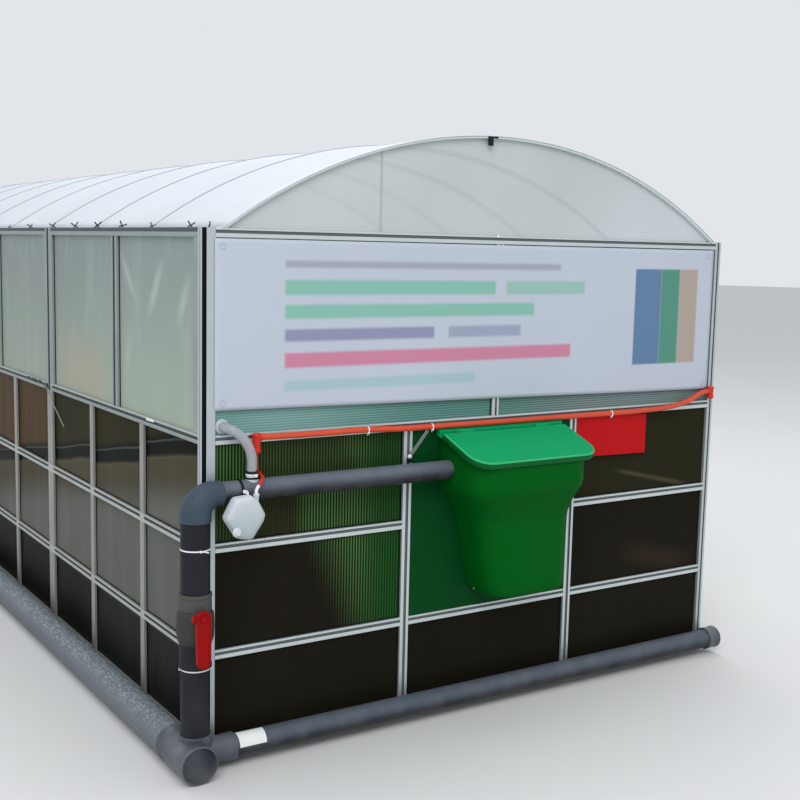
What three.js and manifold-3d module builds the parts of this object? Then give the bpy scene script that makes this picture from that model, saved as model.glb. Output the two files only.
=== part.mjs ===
// Biogas digester: a long glazed aluminium tunnel over a lined tank, with a feed hopper and pipework.
// Millimetres, +Z up. The origin is on the ground under the middle of the front wall.
// +Y runs into the length of the tunnel, +X to the right as seen from the front.
import * as THREE from 'three'
import * as BufferGeometryUtils from 'three/addons/utils/BufferGeometryUtils.js'
import Module from 'manifold-3d'

const wasm = await Module()
wasm.setup()

// Driving dimensions of the glazed walls
const GAP = 0.3
const WALL_WIDTH = 2280
const MODULE_LENGTH = 1570
const MODULE_COUNT = 5
const WALL_HEIGHT = 1700
const POST = 42
const POST_NOTCH = 12
const BAR = 34
const MULLION = 28
const RAIL = 30
const BASE_RAIL = 58
const TOP_RAIL = 30
const SIDE_POST = 65
const SIDE_MULLION = 54
const CORNER_JAMB = 32
const JOINT_JAMB = 20
const FRAME_DEPTH = 35
const GLAZING_BAR_DEPTH = 12
const INNER_POST_DEPTH = 50
const EAVE_DEPTH = 85
const SHEET = 8
const ROW_HEIGHT = 348
const MID_RAIL_TOP = 1057
const BAY_X = 375
const SILL_THICKNESS = 5
const SILL_LIP = 8

const HALF_WIDTH = WALL_WIDTH / 2
const LENGTH = MODULE_LENGTH * MODULE_COUNT
const INNER_X = HALF_WIDTH - POST - GAP
const SHEET_FRONT = GLAZING_BAR_DEPTH + GAP
const SHEET_BACK = SHEET_FRONT + SHEET

// Driving dimensions of the arched roof
const ROOF_HALF = 1075
const ROOF_RISE = 343
const ROOF_SKIN = 5
const ROOF_OVERHANG = 10
const ARC_STEPS = 16
const HOOP = 25
const HOOP_SPACING = 587
const HOOP_INSET = 36
const PURLIN_DROP = 2
const GABLE_SETBACK = 10
const GABLE_SHEET = 6
const ROOF_RADIUS = (ROOF_HALF ** 2 + ROOF_RISE ** 2) / (2 * ROOF_RISE)
const ROOF_CENTRE = WALL_HEIGHT + ROOF_RISE - ROOF_RADIUS

// Driving dimensions of the tank and the gas holder inside the walls
const TANK_HALF = HALF_WIDTH - INNER_POST_DEPTH - GAP
const TANK_END = 62
const TANK_FLOOR = 1
const TANK_WALL = 8
const TANK_RIM = 1018
const HOLDER_HEIGHT = 550

// Driving dimensions of the feed hopper. Each section is [height, left, right, front, corner].
const PANEL_HALF = BAY_X - BAR / 2 - GAP
const PANEL_FRONT = 2
const HINGE_Y = -30
const HINGE_Z = 1014
const HOPPER_WALL = 6
const HOPPER_CORNER_STEPS = 5
const HOPPER_SECTIONS = [
  [421, -84, 230, -152, 64],
  [431, -98, 238, -167, 74],
  [450, -108, 243, -176, 82],
  [700, -166, 248, -182, 88],
  [765, -200, 256, -205, 92],
  [838, -238, 276, -236, 95],
  [1119, -243, 279, -239, 92],
]
const LID_SLOPE = THREE.MathUtils.degToRad(20.2)
const LID_TOP = 4
const LID_THICKNESS = 24
const LID_LEFT = -257
const LID_RIGHT = 298
const LID_DEPTH = 235
const LID_BACK = 8.5
const LID_CORNER = 75
const LID_BEVEL = 6
const LID_MIDDLE = (LID_LEFT + LID_RIGHT) / 2
const PIN_RADIUS = 3
const KNUCKLE_RADIUS = 7
const KNUCKLE_HALF = 30
const KNUCKLE_OFFSET = 170
const BRACKET_OFFSET = KNUCKLE_OFFSET + 40
const BRACKET_HALF = 7
const BRACKET_REACH = 5
const REAR_RAIL_FRONT = HINGE_Y + KNUCKLE_RADIUS + 0.6

// Driving dimensions of the pipework
const MAIN_RADIUS = 57
const MAIN_X = -1215
const PIPE_Z = 62
const PIPE_Y = -57
const SOCKET = 7
const MAIN_SOCKET = 4
const COUPLING = 60
const DRAIN_RADIUS = 37.5
const DRAIN_END = 1085
const RISER_RADIUS = 46
const RISER_X = -1190
const OUTLET_RADIUS = 33
const OUTLET_Z = 889
const OUTLET_END = -240
const ELBOW_BOTTOM = 805
const ELBOW_SOCKET = 18
const ELBOW_RADIUS = 50
const ELBOW_ARM_RADIUS = 44
const TEE_TOP = 130
const TEE_FRONT = -152
const TEE_BACK = 62
const TEE_RIGHT = -1060
const VALVE_BOTTOM = 346
const VALVE_TOP = 583
const VALVE_PROFILE = [[0, VALVE_BOTTOM], [51, VALVE_BOTTOM], [51, 424], [57, 438], [59, 480], [57, 520],
  [52, 532], [52, VALVE_TOP], [0, VALVE_TOP]]
const STEM_RADIUS = 17
const STEM_END = -129
const LEVER_X = -1200
const LEVER_Z = 522
const LEVER_HUB = 27
const LEVER_HUB_DEPTH = 20
const LEVER_WIDTH = 44
const LEVER_NEAR = -143
const LEVER_FAR = -133
const LEVER_BOTTOM = 365

// Driving dimensions of the gas line. The route's heights are from the middle rail's hose line.
const GAS_RADIUS = 10
const GAS_TEE_RADIUS = 14
const GAS_Y = -14.3
const GAS_Z = 1045
const GAS_START = -947
const GAS_START_TEE = [-963, 995, 1058]
const GAS_END = 1080
const GAS_END_TEE = [1096, 1067, 1115]
const GAS_END_Z = 1095
const GAS_ROUTE = [[GAS_START, 0], [-925, 0], [-800, -2], [-550, -2], [-420, -7], [-289, -8],
  [10, -9.5], [293, -9], [550, -9], [703, -8], [868, -1], [979, 20], [1030, 42], [1062, 50],
  [GAS_END, 50]]

// Driving dimensions of the vent hose and the seal bottle
const VENT_RADIUS = 16
const VENT_GLAND = [-1072, 1083]
const VENT_GLAND_RADIUS = 24
const SADDLE_X = -1000
const SADDLE_RADIUS = 22
const SADDLE_HALF = 50
const SADDLE_TOP = 940
const VENT_ROUTE = [[-1072, -0.3, 1083], [-1072, -14, 1083], [-1058, -35, 1077], [-1034, -47, 1058],
  [-1010, -55, 1022], [SADDLE_X, PIPE_Y, 985], [SADDLE_X, PIPE_Y, 965], [SADDLE_X, PIPE_Y, SADDLE_TOP + GAP]]
const BOTTLE_X = -1059
const BOTTLE_Y = -122
const BOTTLE_TOP = 887
const BOTTLE_HALF = 71
const BOTTLE_HEIGHT = 140
const BOTTLE_DEPTH = 58
const BOTTLE_BEVEL = 14
const BOTTLE_NECK = [-1016, 8, 889]
const BOTTLE_CORNERS = [[-0.48, 0.94], [0.31, 1], [0.65, 0.73], [1, 0.11], [0.9, -0.2], [0.32, -1],
  [-0.39, -0.86], [-1, 0.06]]
const TIE_X = -1045
const TIE_HALF = 4
const TIE_THICKNESS = 3
const TUBE_RADIUS = 5
const TUBE_ROUTE = [[-963, GAS_Y, 994.7], [-963, GAS_Y, 984], [-965, -18, 962], [-968, -29, 944],
  [-970, -54, 935], [-975, -82, 931], [-992, -108, 922], [-1010, -120, 908], [-1016, BOTTLE_Y, 898],
  [-1016, BOTTLE_Y, 889.3]]

// Outlines in X and Z of what hangs on the front wall
const HUNG_THICKNESS = 3
const BANNER_OUTLINE = [[-1092, 1136], [1085, 1106], [1085, 1667], [-1092, 1668]]
const SIGN_OUTLINE = [[390, 874], [752, 848], [752, 1020], [390, 1038]]

const finish = (color, roughness, metalness = 0) =>
  new THREE.MeshStandardMaterial({ color, roughness, metalness })
const aluminium = finish(0xb9bcbc, 0.4, 1)
const darkSheet = finish(0x14130f, 0.25)
const frostedSheet = finish(0x8b948c, 0.45)
const film = finish(0xe9edf0, 0.6)
const gableSheet = finish(0xa9b3ab, 0.5)
const galvanised = finish(0x9a9d9f, 0.5, 1)
const tankLiner = finish(0x1d1f1c, 0.6)
const greenMembrane = finish(0x2f6a45, 0.6)
const greenPlastic = finish(0x2f9e5a, 0.45)
const bluePipe = finish(0x3f4850, 0.45)
const fitting = finish(0x50575c, 0.5)
const redPlastic = finish(0xb22a26, 0.4)
const orangeHose = finish(0xc8502a, 0.45)
const clearHose = finish(0xc9cfcb, 0.3)
const whitePlastic = finish(0xe8e8e4, 0.4)
const vinyl = finish(0xd9d6e4, 0.5)

const group = new THREE.Group()

function toSolid(geometry) {
  const bare = geometry.index ? geometry.clone() : BufferGeometryUtils.mergeVertices(geometry.clone())
  bare.deleteAttribute('normal')
  bare.deleteAttribute('uv')
  const merged = BufferGeometryUtils.mergeVertices(bare, 1e-3)
  const vertProperties = new Float32Array(merged.attributes.position.array)
  const triVerts = new Uint32Array(merged.index.array)
  return new wasm.Manifold(new wasm.Mesh({ numProp: 3, vertProperties, triVerts }))
}

function toGeometry(solid) {
  const mesh = solid.getMesh()
  const geometry = new THREE.BufferGeometry()
  geometry.setAttribute('position', new THREE.BufferAttribute(new Float32Array(mesh.vertProperties), 3))
  geometry.setIndex(new THREE.BufferAttribute(new Uint32Array(mesh.triVerts), 1))
  return geometry
}

function join(solids) {
  return solids.reduce((whole, solid) => whole.add(solid))
}

function addPiece(name, shape, material) {
  const geometry = shape.isBufferGeometry ? shape : toGeometry(shape)
  const mesh = new THREE.Mesh(geometry, material)
  mesh.name = name
  group.add(mesh)
  return mesh
}

function boxGeometry(xs, ys, zs) {
  const size = [xs, ys, zs].map(([a, b]) => Math.abs(b - a))
  const middle = [xs, ys, zs].map(([a, b]) => (a + b) / 2)
  return new THREE.BoxGeometry(...size).translate(...middle)
}

function box(xs, ys, zs) {
  return toSolid(boxGeometry(xs, ys, zs))
}

// A round bar from one point to another
function rod(from, to, radius, sides = 20) {
  const start = new THREE.Vector3(...from)
  const along = new THREE.Vector3(...to).sub(start)
  const geometry = new THREE.CylinderGeometry(radius, radius, along.length(), sides)
  geometry.translate(0, along.length() / 2, 0)
  geometry.applyQuaternion(new THREE.Quaternion().setFromUnitVectors(
    new THREE.Vector3(0, 1, 0), along.clone().normalize()))
  return toSolid(geometry.translate(...from))
}

// A tube of round section along a smooth curve through the points
function hose(points, radius, steps, sides = 8) {
  const section = new THREE.Shape()
  for (let i = 0; i < sides; i += 1) {
    const angle = (i / sides) * Math.PI * 2
    const corner = [radius * Math.cos(angle), radius * Math.sin(angle)]
    if (i === 0) section.moveTo(...corner)
    else section.lineTo(...corner)
  }
  const path = new THREE.CatmullRomCurve3(points.map((point) => new THREE.Vector3(...point)))
  return new THREE.ExtrudeGeometry(section, { steps, bevelEnabled: false, extrudePath: path })
}

// An outline in X and Z given a thickness along Y
function plateXZ(outline, yNear, yFar) {
  const shape = new THREE.Shape(outline.map(([x, z]) => new THREE.Vector2(x, z)))
  const geometry = new THREE.ExtrudeGeometry(shape, { depth: yFar - yNear, bevelEnabled: false })
  return geometry.rotateX(Math.PI / 2).translate(0, yFar, 0)
}

// Points of the roof arc at one radius, cut off level at the wall top
function roofArc(radius, base) {
  const reach = Math.acos((base - ROOF_CENTRE) / radius)
  const points = []
  for (let i = 0; i <= ARC_STEPS; i += 1) {
    const angle = -reach + (2 * reach * i) / ARC_STEPS
    points.push([radius * Math.sin(angle), ROOF_CENTRE + radius * Math.cos(angle)])
  }
  return points
}

function arcBand(outerRadius, innerRadius, base) {
  return [...roofArc(outerRadius, base), ...roofArc(innerRadius, base).reverse()]
}

// Corner posts: square aluminium tube with the open groove at the outer corner
function addCornerPosts() {
  const ends = [['front', 0, 1], ['rear', LENGTH, -1]]
  const sides = [['left', -1], ['right', 1]]
  for (const [endName, yFace, inward] of ends) {
    for (const [sideName, side] of sides) {
      const xs = [side * HALF_WIDTH, side * (HALF_WIDTH - POST)]
      const post = box(xs, [yFace, yFace + inward * POST], [0, WALL_HEIGHT])
      const notch = box([side * (HALF_WIDTH + 1), side * (HALF_WIDTH - POST_NOTCH)],
        [yFace - inward, yFace + inward * POST_NOTCH], [-1, WALL_HEIGHT + 1])
      addPiece(`corner_post_${endName}_${sideName}`, post.subtract(notch), aluminium)
    }
  }
}

// End wall frame: sill, rails and glazing bars between two corner posts
function addEndFrame(name, yFace, inward, hasHopperBay) {
  const deep = (depth) => [yFace, yFace + inward * depth]
  const across = [-INNER_X, INNER_X]
  const midRail = [MID_RAIL_TOP - RAIL, MID_RAIL_TOP]
  const bars = [
    box(across, [yFace - inward * SILL_LIP, yFace + inward * FRAME_DEPTH], [0, SILL_THICKNESS]),
    box(across, deep(FRAME_DEPTH), [0, BASE_RAIL]),
    box(across, deep(FRAME_DEPTH), midRail),
    box(across, deep(POST), [WALL_HEIGHT - TOP_RAIL, WALL_HEIGHT]),
    box([-MULLION / 2, MULLION / 2], deep(GLAZING_BAR_DEPTH), [MID_RAIL_TOP, WALL_HEIGHT - TOP_RAIL]),
    box(across, deep(GLAZING_BAR_DEPTH), [ROW_HEIGHT - RAIL / 2, ROW_HEIGHT + RAIL / 2]),
  ]
  for (const x of [-BAY_X, BAY_X]) {
    bars.push(box([x - BAR / 2, x + BAR / 2], deep(GLAZING_BAR_DEPTH), [BASE_RAIL, midRail[0]]))
  }
  const secondRow = [2 * ROW_HEIGHT - RAIL / 2, 2 * ROW_HEIGHT + RAIL / 2]
  if (hasHopperBay) {
    bars.push(box([-INNER_X, -BAY_X], deep(GLAZING_BAR_DEPTH), secondRow))
    bars.push(box([BAY_X, INNER_X], deep(GLAZING_BAR_DEPTH), secondRow))
  } else {
    bars.push(box(across, deep(GLAZING_BAR_DEPTH), secondRow))
  }
  addPiece(name, join(bars), aluminium)
}

// Side wall frames: one lattice for each module, with the post at its far end
function addSideFrames() {
  for (const [sideName, side] of [['left', -1], ['right', 1]]) {
    const deep = (from, to) => [side * (HALF_WIDTH - from), side * (HALF_WIDTH - to)]
    for (let i = 0; i < MODULE_COUNT; i += 1) {
      const isFirst = i === 0
      const isLast = i === MODULE_COUNT - 1
      const start = isFirst ? POST + GAP : i * MODULE_LENGTH + SIDE_POST / 2 + GAP
      const end = isLast ? LENGTH - POST - GAP : (i + 1) * MODULE_LENGTH + SIDE_POST / 2
      const run = [start, end]
      const bars = [
        box(deep(0, FRAME_DEPTH), run, [0, BASE_RAIL]),
        box(deep(0, FRAME_DEPTH), run, [MID_RAIL_TOP - RAIL, MID_RAIL_TOP]),
        box(deep(0, EAVE_DEPTH), run, [WALL_HEIGHT - TOP_RAIL, WALL_HEIGHT]),
      ]
      for (const row of [1, 2]) {
        const height = [row * ROW_HEIGHT - RAIL / 2, row * ROW_HEIGHT + RAIL / 2]
        bars.push(box(deep(0, GLAZING_BAR_DEPTH), run, height))
      }
      for (const third of [1, 2]) {
        const y = (i + third / 3) * MODULE_LENGTH
        bars.push(box(deep(0, GLAZING_BAR_DEPTH), [y - BAR / 2, y + BAR / 2], [0, MID_RAIL_TOP]))
      }
      const middle = (i + 0.5) * MODULE_LENGTH
      const jambEnd = isLast ? end : end - SIDE_POST
      const uprights = [
        [start, start + (isFirst ? CORNER_JAMB : JOINT_JAMB)],
        [middle - SIDE_MULLION / 2, middle + SIDE_MULLION / 2],
        [jambEnd - (isLast ? CORNER_JAMB : JOINT_JAMB), jambEnd],
      ]
      for (const upright of uprights) {
        bars.push(box(deep(0, GLAZING_BAR_DEPTH), upright, [MID_RAIL_TOP - RAIL, WALL_HEIGHT]))
      }
      if (!isLast) {
        const postRun = [end - SIDE_POST, end]
        bars.push(box(deep(0, GLAZING_BAR_DEPTH), postRun, [0, WALL_HEIGHT]))
        bars.push(box(deep(SHEET_BACK + GAP, INNER_POST_DEPTH), postRun, [0, WALL_HEIGHT]))
      }
      addPiece(`${sideName}_frame_${i + 1}`, join(bars), aluminium)
    }
  }
}

// Twin-wall sheets behind the glazing bars, lower and upper, on each wall
function addSheets() {
  const rows = [
    ['lower', [BASE_RAIL + GAP, MID_RAIL_TOP - RAIL - GAP], darkSheet],
    ['upper', [MID_RAIL_TOP + GAP, WALL_HEIGHT - TOP_RAIL - GAP], frostedSheet],
  ]
  const runY = [POST + GAP, LENGTH - POST - GAP]
  for (const [rowName, height, material] of rows) {
    const endRun = [-INNER_X, INNER_X]
    addPiece(`front_sheet_${rowName}`, boxGeometry(endRun, [SHEET_FRONT, SHEET_BACK], height), material)
    addPiece(`rear_sheet_${rowName}`,
      boxGeometry(endRun, [LENGTH - SHEET_BACK, LENGTH - SHEET_FRONT], height), material)
    for (const [sideName, side] of [['left', -1], ['right', 1]]) {
      const xs = [side * (HALF_WIDTH - SHEET_FRONT), side * (HALF_WIDTH - SHEET_BACK)]
      addPiece(`${sideName}_sheet_${rowName}`, boxGeometry(xs, runY, height), material)
    }
  }
}

// Roof: film over hoops, with a sheet closing each arched end
function addRoof() {
  const base = WALL_HEIGHT + GAP
  const skin = arcBand(ROOF_RADIUS + ROOF_SKIN, ROOF_RADIUS, base)
  addPiece('roof_film', plateXZ(skin, -ROOF_OVERHANG, LENGTH + ROOF_OVERHANG), film)

  const hoopOuter = ROOF_RADIUS - GAP
  const hoopBand = arcBand(hoopOuter, hoopOuter - HOOP, base)
  const members = []
  const hoops = [HOOP_INSET]
  for (let y = HOOP_SPACING; y < LENGTH - HOOP_INSET - HOOP; y += HOOP_SPACING) hoops.push(y)
  hoops.push(LENGTH - HOOP_INSET)
  for (const y of hoops) {
    members.push(toSolid(plateXZ(hoopBand, y - HOOP / 2, y + HOOP / 2)))
  }
  const reach = Math.acos((base - ROOF_CENTRE) / hoopOuter)
  for (const angle of [-reach / 2, 0, reach / 2]) {
    const purlin = boxGeometry([-HOOP / 2, HOOP / 2], [HOOP_INSET, LENGTH - HOOP_INSET],
      [hoopOuter - HOOP, hoopOuter - PURLIN_DROP])
    members.push(toSolid(purlin.rotateY(angle).translate(0, 0, ROOF_CENTRE)))
  }
  addPiece('roof_hoops', join(members), galvanised)

  const gable = roofArc(ROOF_RADIUS - GAP, base)
  addPiece('front_gable', plateXZ(gable, GABLE_SETBACK, GABLE_SETBACK + GABLE_SHEET), gableSheet)
  addPiece('rear_gable',
    plateXZ(gable, LENGTH - GABLE_SETBACK - GABLE_SHEET, LENGTH - GABLE_SETBACK), gableSheet)
}

// Tank liner, open at the top, and the gas holder membrane that covers it
function addTank() {
  const runY = [TANK_END, LENGTH - TANK_END]
  const outer = box([-TANK_HALF, TANK_HALF], runY, [TANK_FLOOR, TANK_RIM])
  const inner = box([TANK_WALL - TANK_HALF, TANK_HALF - TANK_WALL],
    [runY[0] + TANK_WALL, runY[1] - TANK_WALL], [TANK_FLOOR + TANK_WALL, TANK_RIM + 1])
  addPiece('tank_liner', outer.subtract(inner), tankLiner)

  const dome = (half, height, base) => {
    const outline = []
    for (let i = 0; i <= ARC_STEPS; i += 1) {
      const angle = Math.PI - (Math.PI * i) / ARC_STEPS
      outline.push([half * Math.cos(angle), base + height * Math.sin(angle)])
    }
    return outline
  }
  const base = TANK_RIM + GAP
  const shell = toSolid(plateXZ(dome(TANK_HALF, HOLDER_HEIGHT, base), ...runY))
  const hollow = toSolid(plateXZ(dome(TANK_HALF - TANK_WALL, HOLDER_HEIGHT - TANK_WALL, base - 1),
    runY[0] + TANK_WALL, runY[1] - TANK_WALL))
  addPiece('gas_holder', shell.subtract(hollow), greenMembrane)
}

// Plan outline of the hopper at one height: square at the wall, round at the front corners
function hopperPlan(left, right, front, corner, inset) {
  const back = PANEL_FRONT - GAP - inset
  const [x0, x1, y0] = [left + inset, right - inset, front + inset]
  const round = Math.max(corner - inset, 1)
  const points = [[x0, back]]
  for (let i = 0; i <= HOPPER_CORNER_STEPS; i += 1) {
    const angle = Math.PI + (i / HOPPER_CORNER_STEPS) * (Math.PI / 2)
    points.push([x0 + round + round * Math.cos(angle), y0 + round + round * Math.sin(angle)])
  }
  for (let i = 0; i <= HOPPER_CORNER_STEPS; i += 1) {
    const angle = Math.PI * 1.5 + (i / HOPPER_CORNER_STEPS) * (Math.PI / 2)
    points.push([x1 - round + round * Math.cos(angle), y0 + round + round * Math.sin(angle)])
  }
  points.push([x1, back])
  return points
}

// A closed solid through level outlines that have the same number of points
function loft(levels) {
  const count = levels[0].points.length
  const positions = levels.flatMap(({ points, z }) => points.flatMap(([x, y]) => [x, y, z]))
  const index = []
  for (let level = 0; level < levels.length - 1; level += 1) {
    for (let i = 0; i < count; i += 1) {
      const [a, b] = [level * count + i, level * count + ((i + 1) % count)]
      index.push(a, b, b + count, a, b + count, a + count)
    }
  }
  const cap = THREE.ShapeUtils.triangulateShape(
    levels[0].points.map(([x, y]) => new THREE.Vector2(x, y)), [])
  const top = (levels.length - 1) * count
  for (const [a, b, c] of cap) {
    index.push(c, b, a)
    index.push(top + a, top + b, top + c)
  }
  const geometry = new THREE.BufferGeometry()
  geometry.setAttribute('position', new THREE.Float32BufferAttribute(positions, 3))
  geometry.setIndex(index)
  return geometry
}

// The hopper's outside, or its inside where the inset is the wall thickness
function hopperShell(inset) {
  const last = HOPPER_SECTIONS.length - 1
  return toSolid(loft(HOPPER_SECTIONS.map(([height, left, right, front, corner], i) => {
    const end = i === 0 ? inset : i === last ? Math.sign(inset) : 0
    return { z: height + end, points: hopperPlan(left, right, front, corner, inset) }
  })))
}

// Everything above the lid seat is cut away from the hopper
function lidSeatCutter() {
  const reach = 500
  const cutter = boxGeometry([-reach, reach], [-reach, reach / 2], [0, reach])
  cutter.rotateX(LID_SLOPE)
  const seat = (LID_TOP - LID_THICKNESS) / Math.cos(LID_SLOPE) - GAP
  return toSolid(cutter.translate(0, HINGE_Y, HINGE_Z + seat))
}

// Lid plate in its own plane, with the hinge along X through zero, just under the plate's top
function lidPlate() {
  const outline = new THREE.Shape()
  const [x0, x1, front, back] = [LID_LEFT, LID_RIGHT, -LID_DEPTH, -LID_BACK]
  outline.moveTo(x0, back)
  outline.lineTo(x0, front + LID_CORNER)
  outline.absarc(x0 + LID_CORNER, front + LID_CORNER, LID_CORNER, Math.PI, Math.PI * 1.5, false)
  outline.lineTo(x1 - LID_CORNER, front)
  outline.absarc(x1 - LID_CORNER, front + LID_CORNER, LID_CORNER, Math.PI * 1.5, Math.PI * 2, false)
  outline.lineTo(x1, back)
  const plate = new THREE.ExtrudeGeometry(outline, {
    depth: LID_THICKNESS - LID_BEVEL,
    bevelEnabled: true,
    bevelThickness: LID_BEVEL / 2,
    bevelSize: LID_BEVEL / 2,
    bevelOffset: -LID_BEVEL / 2,
    bevelSegments: 1,
    curveSegments: 5,
  })
  return plate.translate(0, 0, LID_TOP + LID_BEVEL / 2 - LID_THICKNESS)
}

// Feed hopper: back panel, body, rear rail, lid with its knuckles, and the hinge pin on its brackets
function addHopper() {
  addPiece('hopper_panel', boxGeometry([-PANEL_HALF, PANEL_HALF],
    [PANEL_FRONT, GLAZING_BAR_DEPTH - GAP],
    [ROW_HEIGHT + RAIL / 2 + GAP, MID_RAIL_TOP - RAIL - GAP]), greenPlastic)
  addPiece('hopper_body', hopperShell(0).subtract(hopperShell(HOPPER_WALL)).subtract(lidSeatCutter()),
    greenPlastic)

  const toHinge = (geometry) => toSolid(geometry.rotateX(LID_SLOPE).translate(0, HINGE_Y, HINGE_Z))
  const alongHinge = (from, to, radius) => rod([from, HINGE_Y, HINGE_Z], [to, HINGE_Y, HINGE_Z], radius)

  const lidPlane = boxGeometry([LID_LEFT, LID_RIGHT], [-LID_DEPTH, LID_DEPTH],
    [LID_TOP - LID_THICKNESS, LID_TOP])
  const behindHinge = box([LID_LEFT - 1, LID_RIGHT + 1], [REAR_RAIL_FRONT, -GAP],
    [HINGE_Z - LID_DEPTH, HINGE_Z + LID_DEPTH])
  addPiece('hopper_rear_rail', toHinge(lidPlane).intersect(behindHinge), greenPlastic)

  const lidParts = [toHinge(lidPlate())]
  const bores = []
  for (const x of [LID_MIDDLE - KNUCKLE_OFFSET, LID_MIDDLE + KNUCKLE_OFFSET]) {
    const [from, to] = [x - KNUCKLE_HALF, x + KNUCKLE_HALF]
    lidParts.push(alongHinge(from, to, KNUCKLE_RADIUS))
    lidParts.push(toHinge(boxGeometry([from, to], [-2 * KNUCKLE_RADIUS, 0], [-KNUCKLE_RADIUS, 0])))
    bores.push(alongHinge(from - 1, to + 1, PIN_RADIUS + GAP))
  }
  addPiece('hopper_lid', join(lidParts).subtract(join(bores)), greenPlastic)

  const pinEnd = BRACKET_OFFSET + BRACKET_HALF + 1
  const hinge = [alongHinge(LID_MIDDLE - pinEnd, LID_MIDDLE + pinEnd, PIN_RADIUS)]
  for (const x of [LID_MIDDLE - BRACKET_OFFSET, LID_MIDDLE, LID_MIDDLE + BRACKET_OFFSET]) {
    hinge.push(box([x - BRACKET_HALF, x + BRACKET_HALF], [HINGE_Y - BRACKET_REACH, REAR_RAIL_FRONT - GAP],
      [HINGE_Z - BRACKET_REACH, HINGE_Z + BRACKET_REACH]))
  }
  addPiece('lid_hinge', join(hinge), galvanised)
}

// Centre line of the elbow that turns the riser into the outlet pipe
function elbowRoute() {
  const bend = OUTLET_Z - ELBOW_BOTTOM - ELBOW_SOCKET
  const bendSteps = 6
  const route = [[RISER_X, PIPE_Y, ELBOW_BOTTOM]]
  for (let i = 0; i <= bendSteps; i += 1) {
    const angle = Math.PI - (i / bendSteps) * (Math.PI / 2)
    route.push([RISER_X + bend + bend * Math.cos(angle), PIPE_Y,
      OUTLET_Z - bend + bend * Math.sin(angle)])
  }
  route.push([RISER_X + bend + ELBOW_SOCKET, PIPE_Y, OUTLET_Z])
  return route
}

// Elbow and outlet, riser with its valve, and the drain along the foot of the wall
function addPipework() {
  const upright = (x, from, to, radius) => rod([x, PIPE_Y, from], [x, PIPE_Y, to], radius)
  const level = (z, from, to, radius) => rod([from, PIPE_Y, z], [to, PIPE_Y, z], radius)
  const lengthwise = (from, to, radius) => rod([MAIN_X, from, PIPE_Z], [MAIN_X, to, PIPE_Z], radius)

  const route = elbowRoute()
  const elbowEnd = route[route.length - 1][0]
  addPiece('outlet_elbow', toSolid(hose(route, ELBOW_ARM_RADIUS, 12, 16)).add(
    upright(RISER_X, ELBOW_BOTTOM, ELBOW_BOTTOM + ELBOW_SOCKET, ELBOW_RADIUS)), fitting)
  addPiece('outlet_pipe', level(OUTLET_Z, elbowEnd + GAP, OUTLET_END, OUTLET_RADIUS), bluePipe)
  addPiece('riser_upper', upright(RISER_X, VALVE_TOP + GAP, ELBOW_BOTTOM - GAP, RISER_RADIUS), bluePipe)
  addPiece('riser_lower', upright(RISER_X, TEE_TOP + GAP, VALVE_BOTTOM - GAP, RISER_RADIUS), bluePipe)

  const housing = new THREE.LatheGeometry(VALVE_PROFILE.map(([r, z]) => new THREE.Vector2(r, z)), 20)
  const valve = toSolid(housing.rotateX(Math.PI / 2).translate(RISER_X, PIPE_Y, 0)).add(
    rod([LEVER_X, PIPE_Y, LEVER_Z], [LEVER_X, STEM_END, LEVER_Z], STEM_RADIUS, 16))
  addPiece('valve_body', valve, fitting)
  const hubFace = STEM_END - GAP
  const hub = rod([LEVER_X, hubFace, LEVER_Z], [LEVER_X, hubFace - LEVER_HUB_DEPTH, LEVER_Z], LEVER_HUB, 16)
  addPiece('valve_lever', hub.add(box([LEVER_X - LEVER_WIDTH / 2, LEVER_X + LEVER_WIDTH / 2],
    [LEVER_NEAR, LEVER_FAR], [LEVER_BOTTOM, LEVER_Z])), redPlastic)

  const barrel = MAIN_RADIUS + MAIN_SOCKET
  addPiece('drain_tee', join([
    lengthwise(TEE_FRONT, TEE_BACK, barrel),
    upright(RISER_X, PIPE_Z, TEE_TOP, RISER_RADIUS + SOCKET),
    level(PIPE_Z, RISER_X, TEE_RIGHT, DRAIN_RADIUS + SOCKET),
  ]), fitting)
  addPiece('drain_pipe', level(PIPE_Z, TEE_RIGHT + GAP, DRAIN_END, DRAIN_RADIUS), bluePipe)
  addPiece('drain_coupling', level(PIPE_Z, DRAIN_END + GAP, DRAIN_END + COUPLING, DRAIN_RADIUS + SOCKET),
    fitting)
  const mainEnd = LENGTH - COUPLING
  addPiece('side_main_pipe', lengthwise(TEE_BACK + GAP, mainEnd, MAIN_RADIUS), bluePipe)
  addPiece('side_main_coupling', lengthwise(mainEnd + GAP, mainEnd + 1.5 * COUPLING, barrel), fitting)
}

// Gas line along the middle rail, with a tee at each end
function addGasLine() {
  const tee = ([x, bottom, top], hoseEnd, z) => join([
    rod([x, GAS_Y, bottom], [x, GAS_Y, top], GAS_TEE_RADIUS, 12),
    rod([x, GAS_Y, z], [hoseEnd, GAS_Y, z], GAS_TEE_RADIUS - 1, 12),
  ])
  addPiece('gas_start_tee', tee(GAS_START_TEE, GAS_START - GAP, GAS_Z), redPlastic)
  addPiece('gas_hose', hose(GAS_ROUTE.map(([x, rise]) => [x, GAS_Y, GAS_Z + rise]), GAS_RADIUS, 44),
    orangeHose)
  addPiece('gas_end_tee', tee(GAS_END_TEE, GAS_END + GAP, GAS_END_Z), redPlastic)
}

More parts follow.
